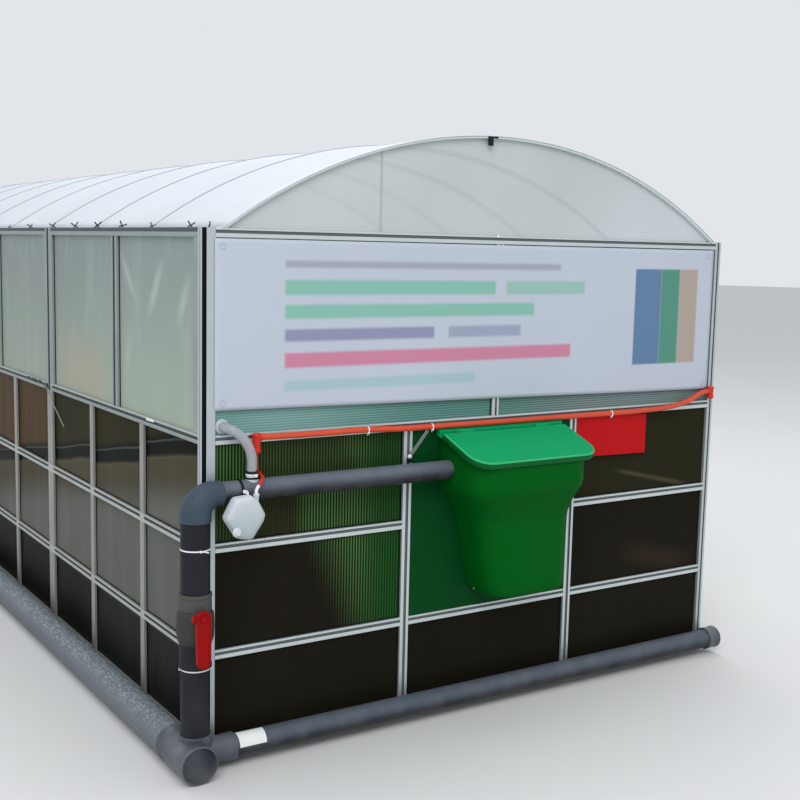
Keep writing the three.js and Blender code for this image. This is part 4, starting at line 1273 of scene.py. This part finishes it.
def banded(length, radius, band, bore, reach):
    """Profile of an open fitting with a raised band at each end, bored back from its far end."""
    low = radius - FITTING_LIP
    return [(0, low), (FITTING_LIP, radius), (band, radius), (band + 0.002, low),
            (length - band - 0.002, low), (length - band, radius), (length - FITTING_LIP, radius),
            (length, low), (length, bore), (reach, bore - 0.001)]


def add_pipes(finishes):
    """The straight pipes, with slightly eased ends."""
    for name, node, axis in (("drain_run", "drain_pipe", 0), ("outlet_run", "outlet_pipe", 0),
                             ("riser_top_run", "riser_upper", 2), ("riser_foot_run", "riser_lower", 2),
                             ("main_run", "side_main_pipe", 1)):
        start, along, length, radius = straight(node, axis)
        ease = 0.0012
        solid = Solid()
        barrel(solid, start, along, [(0, radius - ease), (ease, radius), (length - ease, radius),
                                     (length, radius - ease)], sides=64)
        settle(solid.build(name, [finishes[node]], 40), "blue_pipe", node)


def add_coupling(name, node, axis, bore, finish):
    """A coupling that is closed over its pipe and open at its far end."""
    start, along, length, radius = straight(node, axis)
    solid = Solid()
    barrel(solid, start, along, banded(length, radius, 0.010, bore, length * 0.45), sides=64)
    settle(solid.build(name, [finish], 40), "pipe_fitting", node)


def add_elbow(finish):
    """The moulded elbow, which narrows from its socket on the riser to its end on the outlet pipe."""
    wide, narrow, drop, lip, rim = ELBOW_WIDE, ELBOW_NARROW, ELBOW_DROP, 0.0012, 0.009
    points = [Vector((RISER_X, PIPE_Y, ELBOW_BOTTOM + rise)) for rise in (0, lip, rim)]
    radii = [wide - lip, wide, wide]
    for step in range(25):
        share = step / 24
        turn = math.pi - math.pi / 2 * share
        points.append(Vector((RISER_X + ELBOW_BEND * (1 + math.cos(turn)), PIPE_Y,
                              OUTLET_Z - drop * share + ELBOW_BEND * (math.sin(turn) - 1))))
        radii.append(wide + (narrow - wide) * share ** 1.5)
    end = RISER_X + ELBOW_BEND + ELBOW_SOCKET
    points += [Vector((x, PIPE_Y, OUTLET_Z - drop)) for x in (end - rim, end - lip, end)]
    radii += [narrow, narrow, narrow - lip]
    elbow = Solid()
    tube(elbow, points, radii, sides=64)
    settle(elbow.build("elbow_bend", [finish], 40), "pipe_fitting", "outlet_elbow")


def add_corner_tee(finish):
    """The fitting in the corner: a run for the main, with sockets for the riser and the drain."""
    low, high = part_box("drain_tee")
    length = high.y - low.y
    tee = Solid()
    barrel(tee, Vector((MAIN_X, high.y, PIPE_Z)), -Y,
           banded(length, MAIN_RADIUS + 0.004, 0.016, MAIN_RADIUS, length - 0.045), sides=64)
    for along, pipe, flare, reach in ((Z, RISER_RADIUS, (0.045, 0.052), high.z - PIPE_Z),
                                      (X, DRAIN_RADIUS, (0.09, 0.095), high.x - RISER_X)):
        socket = pipe + 0.007
        barrel(tee, Vector((RISER_X, PIPE_Y, PIPE_Z)), along,
               [(0, pipe), (flare[0], pipe + FITTING_WALL), (flare[1], socket),
                (reach - FITTING_LIP, socket), (reach, pipe + FITTING_WALL)], sides=64)
    settle(tee.build("tee_shell", [finish], 40), "pipe_fitting", "drain_tee")


def add_valve(finishes):
    """The ball valve on the riser: foot socket, round body, collar and the stem of its lever."""
    # Profiles of (height over the ground, radius)
    foot = [(0.346, 0.0490), (0.348, 0.0510), (0.360, 0.0510), (0.362, 0.0495), (0.412, 0.0495),
            (0.424, 0.0502), (0.428, 0.0480)]
    body = [(0.423, 0.0490), (0.424, 0.0505), (0.438, 0.0560), (0.452, 0.0580), (0.480, 0.0590),
            (0.508, 0.0580), (0.520, 0.0570), (0.523, 0.0530), (0.526, 0.0510), (0.534, 0.0505)]
    collar = [(0.532, 0.0500), (0.534, 0.0510), (0.566, 0.0505), (0.570, 0.0498), (0.5725, 0.0520),
              (0.5815, 0.0520), (0.583, 0.0505)]
    valve = Solid()
    for profile, slot in ((foot, 2), (body, 0), (collar, 1)):
        barrel(valve, Vector((RISER_X, PIPE_Y, 0)), Z, profile, slot, 64)
    reach = PIPE_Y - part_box("valve_body")[0].y
    stem = [(0, 0.0165), (0.058, 0.0165), (0.062, 0.0150), (reach - 0.001, 0.0150), (reach, 0.0140)]
    barrel(valve, Vector((LEVER_X, PIPE_Y, LEVER_Z)), -Y, stem, 0, 32)
    settle(valve.build("valve_shell", finishes, 40), "pipe_fitting", "valve_body")


def add_lever(finish):
    """The valve's red handle: a paddle that tapers down from its hub, with a sunk face."""
    hub, tip = Vector((LEVER_X, LEVER_Z)), Vector((LEVER_X, LEVER_TIP))
    hub_radius, tip_radius = 0.0252, 0.0218
    lean = math.asin((hub_radius - tip_radius) / (hub.y - tip.y))

    def outline(inset):
        points = []
        for centre, radius, first, sweep in ((hub, hub_radius, -lean, math.pi + 2 * lean),
                                             (tip, tip_radius, math.pi + lean, math.pi - 2 * lean)):
            for step in range(17):
                turn = first + sweep * step / 16
                points.append(centre + (radius - inset) * Vector((math.cos(turn), math.sin(turn))))
        return points

    def place(x, z, depth):
        return Vector((x, LEVER_BACK - depth, z))

    solid = Solid()
    stack(solid, outline, [(0.0030, 0.0030), (0.0008, 0.0036), (0.0, 0.0052), (0.0, 0.0160), (0.0010, 0.0185),
                           (0.0030, 0.0195), (0.0055, 0.0190), (0.0070, 0.0160), (0.0085, 0.0155)], place)
    lobe = circle(Vector((LEVER_X - 0.0220, LEVER_Z + 0.002)), 0.0140, Vector((1, 0)), Vector((0, 1)), 24)
    solid.skin([[place(point.x, point.y, depth) for point in lobe] for depth in (0.0040, 0.0150)])
    for profile in ([(0, 0.0200), (0.0008, 0.0210), (0.0060, 0.0210)],
                    [(0.0145, 0.0110), (0.0185, 0.0105), (0.0196, 0.0090)]):
        barrel(solid, Vector((LEVER_X, LEVER_BACK, LEVER_Z)), -Y, profile, 0, 40)
    settle(solid.build("lever_handle", [finish], 35), "red_plastic", "valve_lever", body="lever")


def tie_band(solid, centre, along, radius, head, tail):
    """A cable tie round a pipe: band, head block and free tail.

    Head is the direction of the block and tail the length of the free end."""
    across = along.cross(head)
    band, outer = 0.0044, radius + 0.0012
    barrel(solid, centre - band / 2 * along, along, [(0, radius), (0, outer), (band, outer), (band, radius)],
           closed=True)
    corner = centre + (radius + 0.0001) * head
    solid.skin([square(corner + step * head, size * across, size * along)
                for step, size in ((0, 0.0036), (0.0044, 0.0034))])
    rings = []
    for step in range(7):
        share = step / 6
        sink = 0.10 * tail * share ** 2
        place = corner + (0.002 + tail * share) * (0.55 * head + 0.83 * across) - sink * Z
        rings.append(square(place, 0.0018 * along, 0.0006 * head))
    solid.skin(rings)


def add_pipe_ties(finish):
    """White cable ties on the riser, above the valve and below its lever."""
    solid = Solid()
    for height, head, tail in zip(RISER_TIE_HEIGHTS, ((-0.06, -1.0, 0), (-0.97, 0.23, 0)), (0.024, 0.010)):
        tie_band(solid, Vector((RISER_X, PIPE_Y, height)), Z, RISER_RADIUS + 0.0002,
                 Vector(head).normalized(), tail)
    settle(solid.build("riser_ties", [finish]), "white_plastic")


def add_pipe_label(finish):
    """A bare white sticker wrapped on the drain pipe."""
    left, right = LABEL_SPAN
    inner, outer = DRAIN_RADIUS + 0.00015, DRAIN_RADIUS + 0.00050
    rings = []
    for step in range(15):
        turn = math.radians(4 + 90 * step / 14)
        rings.append([Vector((x, PIPE_Y - away * math.cos(turn), PIPE_Z + away * math.sin(turn)))
                      for x, away in ((left, inner), (right, inner), (right, outer), (left, outer))])
    solid = Solid()
    solid.skin(rings)
    settle(solid.build("drain_label", [finish]), "white_plastic")


def add_gas_line(hose_finish, red, white):
    """The gas hose along the middle rail, its tee at each end and its ties."""
    route = curve_through([(x, GAS_Y, GAS_Z + rise) for x, rise in GAS_ROUTE], 10)
    hose = Solid()
    tube(hose, route, GAS_RADIUS)
    settle(hose.build("gas_hose_run", [hose_finish]), "gas_hose", "gas_hose")
    ties = Solid()
    for x in GAS_TIES:
        near = min(route, key=lambda point: abs(point.x - x))
        tie_band(ties, near, X, GAS_RADIUS + 0.0002, Vector((0, -0.5, -0.86)).normalized(), 0.008)
    settle(ties.build("hose_ties", [white]), "white_plastic")
    for name, node, toward, branch_z in (("gas_tee_left", "gas_start_tee", 1, GAS_Z),
                                         ("gas_tee_right", "gas_end_tee", -1, GAS_Z + GAS_ROUTE[-1][1])):
        low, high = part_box(node)
        x = low.x + GAS_TEE_INSET if toward > 0 else high.x - GAS_TEE_INSET
        run = high.x - x if toward > 0 else x - low.x
        tall = high.z - low.z
        half = [(0, 0.0115), (0.001, 0.0125), (0.003, 0.0140), (0.010, 0.0140), (0.012, 0.0122)]
        upright = half + [(tall - distance, radius) for distance, radius in reversed(half)]
        branch = [(0, 0.0110), (run - 0.011, 0.0115), (run - 0.009, 0.0130), (run - 0.001, 0.0130),
                  (run, 0.0120)]
        tee = Solid()
        barrel(tee, Vector((x, GAS_Y, low.z)), Z, upright, sides=32)
        barrel(tee, Vector((x, GAS_Y, branch_z)), toward * X, branch, sides=32)
        settle(tee.build(name, [red], 40), "red_plastic", node)


def add_vent(clear, grey, white, black):
    """The clear vent hose from its gland down to the saddle on the outlet pipe, with its clamps."""
    hose = Solid()
    tube(hose, curve_through(VENT_ROUTE), VENT_RADIUS, sides=32, bore=VENT_RADIUS - 0.003)
    settle(hose.build("vent_hose_run", [clear]), "vent_hose", "vent_hose")

    low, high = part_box("vent_gland")
    reach = high.y - low.y
    gland = Solid()
    barrel(gland, Vector(((low.x + high.x) / 2, high.y, (low.z + high.z) / 2)), -Y,
           [(0, 0.0240), (0.0045, 0.0240), (0.0060, 0.0225), (0.0075, 0.0205), (reach - 0.001, 0.0200),
            (reach, 0.0190)])
    settle(gland.build("gland_boss", [grey], 40), "pipe_fitting", "vent_gland")

    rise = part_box("vent_saddle")[1].z - OUTLET_Z
    saddle = Solid()
    barrel(saddle, Vector((SADDLE_X, PIPE_Y, OUTLET_Z)), Z,
           [(0.020, 0.0215), (rise - 0.016, 0.0215), (rise - 0.012, 0.0190), (rise - 0.001, 0.0185),
            (rise, 0.0175)])
    settle(saddle.build("saddle_stub", [grey], 40), "pipe_fitting", "vent_saddle")

    seat = OUTLET_Z + 0.040
    band, ease = 0.0060, 0.0008
    clamps = Solid()
    for rise, radius, slot in ((-0.006, 0.0222, 1), (0.004, 0.0198, 0), (0.013, 0.0215, 1)):
        barrel(clamps, Vector((SADDLE_X, PIPE_Y, seat + rise)), Z,
               [(0, VENT_RADIUS), (0, radius - 0.0006), (ease, radius), (band - ease, radius),
                (band, radius - 0.0006), (band, VENT_RADIUS)], slot, closed=True)
    block(clamps, Vector((SADDLE_X - 0.006, PIPE_Y - 0.030, seat + 0.003)),
          Vector((SADDLE_X + 0.006, PIPE_Y - 0.019, seat + 0.011)))
    settle(clamps.build("vent_clamps", [white, black], 40), "white_plastic")


def add_bottle(milky, pale):
    """The seal bottle: a flat moulded body with a neck at its top and a capped spout on its face."""
    corners = [(x * BOTTLE_HALF, z * BOTTLE_TALL) for x, z in BOTTLE_CORNERS]

    def place(x, z, depth):
        return BOTTLE + Vector((x, depth, z))

    def outline(inset):
        return rounded(corners, [BOTTLE_ROUNDING] * len(corners), inset, 5)

    near = [(0.034, -0.0290), (0.026, -0.0288), (0.018, -0.0280), (0.011, -0.0262), (0.005, -0.0228),
            (0.0015, -0.0180), (0.0, -0.0120), (0.0, -0.0012), (-0.0010, -0.0007)]
    bottle = Solid()
    stack(bottle, outline, near + [(inset, -depth) for inset, depth in reversed(near)], place)
    neck = BOTTLE + BOTTLE_NECK
    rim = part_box("seal_bottle")[1].z - neck.z
    barrel(bottle, neck, Z, [(0, 0.0078), (rim - 0.009, 0.0078), (rim - 0.008, 0.0095),
                             (rim - 0.001, 0.0095), (rim, 0.0085)], sides=32)
    # The spout and its cap take the paler finish of slot 1, a painted highlight.
    barrel(bottle, BOTTLE + BOTTLE_SPOUT, -Y,
           [(0, 0.0150), (0.0016, 0.0125), (0.0030, 0.0105), (0.0085, 0.0100), (0.0100, 0.0088),
            (0.0100, 0.0040), (0.0092, 0.0034)], 1, 32)
    settle(bottle.build("bottle_shell", [milky, pale], 45), "white_plastic", "seal_bottle")


def add_bottle_cord(white, black):
    """The black tie round the outlet pipe and the knotted white cord that holds the bottle on it."""
    cord = Solid()
    inner, outer, band = 0.0334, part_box("bottle_tie")[1].z - OUTLET_Z, 0.0030
    for shift in (-0.004, 0.001):
        barrel(cord, Vector((CORD_X + shift, PIPE_Y, OUTLET_Z)), X,
               [(0, inner), (0, outer), (band, outer), (band, inner)], 1, closed=True)
    # Places of the drop and of the knot, as (x from the cord, y, height over the pipe's middle)
    drop = [(0, PIPE_Y - 0.0335, 0.004), (0, PIPE_Y - 0.046, 0.006), (0.001, -0.116, 0.006),
            (0, -0.1225, 0.003), (0, -0.1225, 0.8868 - OUTLET_Z)]
    knot = [(-0.004, -0.098, 0.0045), (0.005, -0.104, 0.007), (0.002, -0.112, 0.001),
            (-0.006, -0.106, 0.004), (-0.001, -0.098, 0.008), (0.007, -0.110, 0.0045)]
    for turns, radius, sides in ((drop, 0.0028, 12), (knot, 0.0022, 10)):
        route = curve_through([(CORD_X + x, y, OUTLET_Z + rise) for x, y, rise in turns], 6)
        tube(cord, route, radius, sides=sides)
    settle(cord.build("bottle_cord", [white, black], 45), "white_plastic", "bottle_tie")


def add_bottle_tube(red, white):
    """The thin tube that feeds the bottle, red at first and white for its last quarter."""
    route = curve_through(TUBE_ROUTE)
    change = len(route) * 3 // 4
    feed = Solid()
    tube(feed, route[:change + 1], TUBE_RADIUS, 0, 16)
    tube(feed, route[change:], TUBE_RADIUS, 1, 16)
    settle(feed.build("bottle_feed", [red, white]), "white_plastic", "bottle_tube")


def add_front_fixings(white, black, steel):
    """The stay from the middle rail with its clip, the apex clip and the clip over the top rail."""
    top, foot = Vector((-0.297, -0.0030, 1.024)), Vector((-0.371, -0.0030, 0.936))
    across = (foot - top).normalized().cross(Y)
    stay = Solid()
    stay.skin([square(place, 0.0070 * across, 0.0012 * Y) for place in (top, foot)])
    settle(stay.build("rail_stay", [steel]), "galvanised_steel")

    clip = Solid()
    barrel(clip, foot + 0.0016 * Y, -Y, [(0, 0.0075), (0.0040, 0.0078), (0.0070, 0.0062), (0.0085, 0.0036)],
           sides=24)
    block(clip, foot + Vector((-0.010, 0.0028, -0.020)), foot + Vector((0.008, -0.0060, -0.0075)), 1)
    apex = Vector((-0.0545, 0.0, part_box("front_gable")[1].z))
    block(clip, apex + Vector((-0.021, -0.0095, -0.007)), apex + Vector((0.021, 0.0080, 0.0005)), 1)
    block(clip, apex + Vector((-0.021, -0.0095, -0.033)), apex + Vector((0.001, -0.0040, -0.007)), 1)
    block(clip, Vector((-0.0225, -0.0080, WALL_HEIGHT - 0.006)),
          Vector((-0.0135, -0.0004, WALL_HEIGHT + 0.003)), 0, 0.002)
    settle(clip.build("front_clips", [white, black], 40), "white_plastic")


def add_side_fixings(white, steel, wire):
    """The loose rod that hangs from the left side's rail, and the clips along that rail."""
    face = -HALF_WIDTH
    # Places of the rod, as (distance off the face, y, height)
    places = [(0.004, 1.600, 1.046), (0.006, 1.585, 1.030), (0.008, 1.490, 0.975), (0.006, 1.362, 0.899)]
    rod = Solid()
    tube(rod, curve_through([(face - off, y, z) for off, y, z in places], 6), 0.0022, sides=10)
    settle(rod.build("loose_rod", [steel], 40), "galvanised_steel")

    clips = Solid()
    for y, length, slot in ((1.70, 0.035, 1), (1.78, 0.05, 1), (1.86, 0.03, 1), (0.435, 0.06, 0)):
        block(clips, Vector((face - 0.0045, y - length / 2, MID_RAIL_TOP - 0.010)),
              Vector((face - 0.0002, y + length / 2, MID_RAIL_TOP - 0.001)), slot, 0.0015)
    block(clips, Vector((face - 0.006, 1.590, MID_RAIL_TOP - 0.026)),
          Vector((face - 0.0002, 1.618, MID_RAIL_TOP - 0.004)), 1, 0.002)
    settle(clips.build("side_clips", [white, wire], 40), "galvanised_steel")


def add_screws(finish):
    """The pan-head screw low on the hopper's left flank, grown on its seed point."""
    grower = Grower("panel_screws")
    radius = grower.size("Radius", 0.0048)
    height = grower.size("Height", 0.0026)
    ball = grower.out("GeometryNodeMeshUVSphere", {"Segments": 20, "Rings": 10, "Radius": radius})
    head = grower.moved(ball, scale=grower.vector(1.0, grower.math("DIVIDE", height, radius), 1.0))
    slot = grower.moved(grower.out("GeometryNodeMeshCube", {"Size": (0.0062, 0.0008, 0.0011)}),
                        translation=grower.vector(y=grower.times(height, -0.9)))
    copies = grower.copied(grower.joined(head, slot), rotation=(0.0, 0.0, -math.pi / 2))
    y, z = SCREW_SPOT
    screws = grower.grow(copies, finish, [(hopper_section(z)[0] - 0.0004, y, z)])
    screws.data.shade_smooth()
    settle(screws, "galvanised_steel")


def add_studio():
    """Plain pale floor, soft even light and two large soft lamps, above the front left and overhead."""
    floor = Solid()
    floor.skin([circle(Vector((0, 0, height)), FLOOR_REACH, X, Y, 96) for height in (-0.03, -0.0006)])
    ground = Finish("floor_finish", 0.9)
    ground.colour(ground.mix(ground.noise(0.6), (206, 207, 206), (212, 212, 211)))
    plane = floor.build("floor", [ground.material])
    plane.location.y = LENGTH / 2
    world = bpy.data.worlds.new("studio")
    world.use_nodes = True
    background = world.node_tree.nodes["Background"]
    background.inputs["Color"].default_value = SKY
    background.inputs["Strength"].default_value = SKY_STRENGTH
    bpy.context.scene.world = world
    for name, place, size, watts in LAMPS:
        lamp = bpy.data.lights.new(name, "AREA")
        lamp.shape = "DISK"
        lamp.size = size
        lamp.energy = watts
        light = add_object(name, lamp)
        light.location = place
        light.rotation_euler = (LAMP_TARGET - light.location).to_track_quat("-Z", "Y").to_euler()
    bpy.context.scene.view_settings.view_transform = "Standard"


add_camera()
add_studio()

aluminium = moulded("aluminium_finish", (206, 214, 214), 0.42, 0.6, mottle=0.04, dust=0.5)
# The posts take a darker copy of the aluminium finish, as painted shade.
post_aluminium = moulded("post_aluminium", (188, 197, 199), 0.42, 0.6, mottle=0.04, dust=0.5)
groove_shade = moulded("groove_shade", (104, 110, 114), 0.55, 0.3, mottle=0.05)
side_groove_shade = moulded("side_groove_shade", (64, 76, 80), 0.55, mottle=0.05)
rubber_and_shade = moulded("rubber_black", (14, 20, 22), 0.7, mottle=0.1, specular_ior_level=0.1)
steel = moulded("galvanised_finish", (158, 162, 164), 0.45, 0.9)
tie_wire = moulded("tie_wire", (62, 68, 70), 0.5, 0.5)
hold_wire = moulded("hold_wire", (176, 182, 188), 0.6)
eyelet_grey = moulded("eyelet_grey", (176, 182, 192), 0.5)
# Paler bottle plastic for the spout, a painted highlight.
spout_white = moulded("spout_white", (200, 208, 206), 0.4, mottle=0.02)
white = moulded("white_plastic_finish", (228, 230, 228), 0.4, mottle=0.02)
milky = milky_finish()
black_plastic = moulded("black_plastic", (20, 22, 22), specular_ior_level=0.2)
smooth = {"mottle": 0.02, "grain": 500, "lump": 0.0001}
# One green plastic in two copies: lit and paler on the lid, darker on the tub as painted shade.
lid_green = moulded("lid_green", (8, 150, 92), 0.42, specular_ior_level=0.06, **smooth)
# The rim's paler green is a painted highlight; the skirt's darker green is painted shade.
rim_green = moulded("rim_green", (48, 172, 108), 0.4, specular_ior_level=0.2, **smooth)
line_green = moulded("line_green", (150, 200, 120), mottle=0.05)
skirt_green = moulded("skirt_green", (6, 92, 40), 0.4, specular_ior_level=0.1, **smooth)
tub_green = moulded("tub_green", (2, 86, 23), 0.42, specular_ior_level=0.03, **smooth)
panel_green = moulded("panel_green", (5, 66, 28), mottle=0.06, specular_ior_level=0.05)
pipe_dark = moulded("pipe_blue_grey", (68, 76, 87), 0.36, mottle=0.04, dust=0.3, specular_ior_level=0.35)
elbow_grey = moulded("elbow_grey", (62, 75, 86), 0.42, mottle=0.05, specular_ior_level=0.12)
pipe_black = moulded("pipe_black_grey", (37, 39, 44), mottle=0.05, dust=0.06, specular_ior_level=0.08)
outlet_grey = painted_light_pipe("outlet_grey", (34, 37, 45), (88, 96, 107), OUTLET_Z, OUTLET_RADIUS)
drain_grey = painted_light_pipe("drain_grey", (34, 37, 46), (78, 87, 97), PIPE_Z, DRAIN_RADIUS)
main_grey = speckled_pipe()
valve_grey = moulded("valve_grey", (58, 60, 57), 0.5, specular_ior_level=0.1)
collar_grey = moulded("collar_grey", (74, 76, 73), 0.55, mottle=0.12, specular_ior_level=0.15)
lever_red = moulded("lever_red", (146, 6, 5), 0.38, mottle=0.03, specular_ior_level=0.12)
sign_red = moulded("sign_red", (184, 10, 16), mottle=0.04, specular_ior_level=0.1)
hose_orange = moulded("hose_orange", (206, 74, 46), 0.38, mottle=0.06, specular_ior_level=0.3)
fitting_red = moulded("fitting_red", (204, 40, 26), 0.38, mottle=0.04, specular_ior_level=0.3)
clear_hose = moulded("clear_hose", (222, 224, 229), 0.08, mottle=0.05, transmission_weight=0.7, ior=1.45)
liner = moulded("liner_black", (30, 33, 31), 0.55)
membrane = moulded("membrane_green", (54, 110, 74), 0.5)
channel_white = moulded("channel_white", (214, 222, 222), 0.5, mottle=0.03)
joint_grey = moulded("joint_grey", (162, 172, 169), 0.5, mottle=0.04)

dress(front_dark_sheet(), "front_sheet_lower", "rear_sheet_lower")
dress(side_dark_sheet(), "left_sheet_lower", "right_sheet_lower")
dress(side_frosted_sheet(), "left_sheet_upper", "right_sheet_upper")
dress(end_frosted_sheet(), "front_sheet_upper", "rear_sheet_upper")
dress(gable_finish(), "front_gable", "rear_gable")
dress(steel, "roof_hoops")
dress(lid_green, "lid_hinge")
dress(liner, "tank_liner")
dress(membrane, "gas_holder")
dress(panel_green, "hopper_panel")

add_corner_posts([post_aluminium, groove_shade, rubber_and_shade])
add_end_frames([aluminium, groove_shade, rubber_and_shade])
side_finishes = [side_aluminium(), side_groove_shade, rubber_and_shade]
for side in ("left", "right"):
    for index in range(MODULE_COUNT):
        add_side_module(side, index, side_finishes)
add_roof_film(film_finish())
add_hold_wires(hold_wire)
add_wire_tails(tie_wire)
add_gable_trims(channel_white, joint_grey)
add_banner(banner_finish(), eyelet_grey)
add_sign(sign_red)
add_hopper_body(tub_green)
add_hopper_lid([lid_green, rim_green, skirt_green])
add_rear_rail([lid_green, line_green])
add_pipes({"drain_pipe": drain_grey, "outlet_pipe": outlet_grey, "riser_upper": pipe_black,
           "riser_lower": pipe_black, "side_main_pipe": main_grey})
add_coupling("drain_socket", "drain_coupling", 0, DRAIN_RADIUS, pipe_dark)
add_coupling("main_socket", "side_main_coupling", 1, MAIN_RADIUS, main_grey)
add_elbow(elbow_grey)
add_corner_tee(pipe_dark)
add_valve([valve_grey, collar_grey, pipe_black])
add_lever(lever_red)
add_pipe_ties(white)
add_pipe_label(white)
add_gas_line(hose_orange, fitting_red, white)
add_vent(clear_hose, milky, white, black_plastic)
add_bottle(milky, spout_white)
add_bottle_cord(white, black_plastic)
add_bottle_tube(fitting_red, white)
add_front_fixings(white, black_plastic, steel)
add_side_fixings(white, steel, tie_wire)
add_screws(steel)
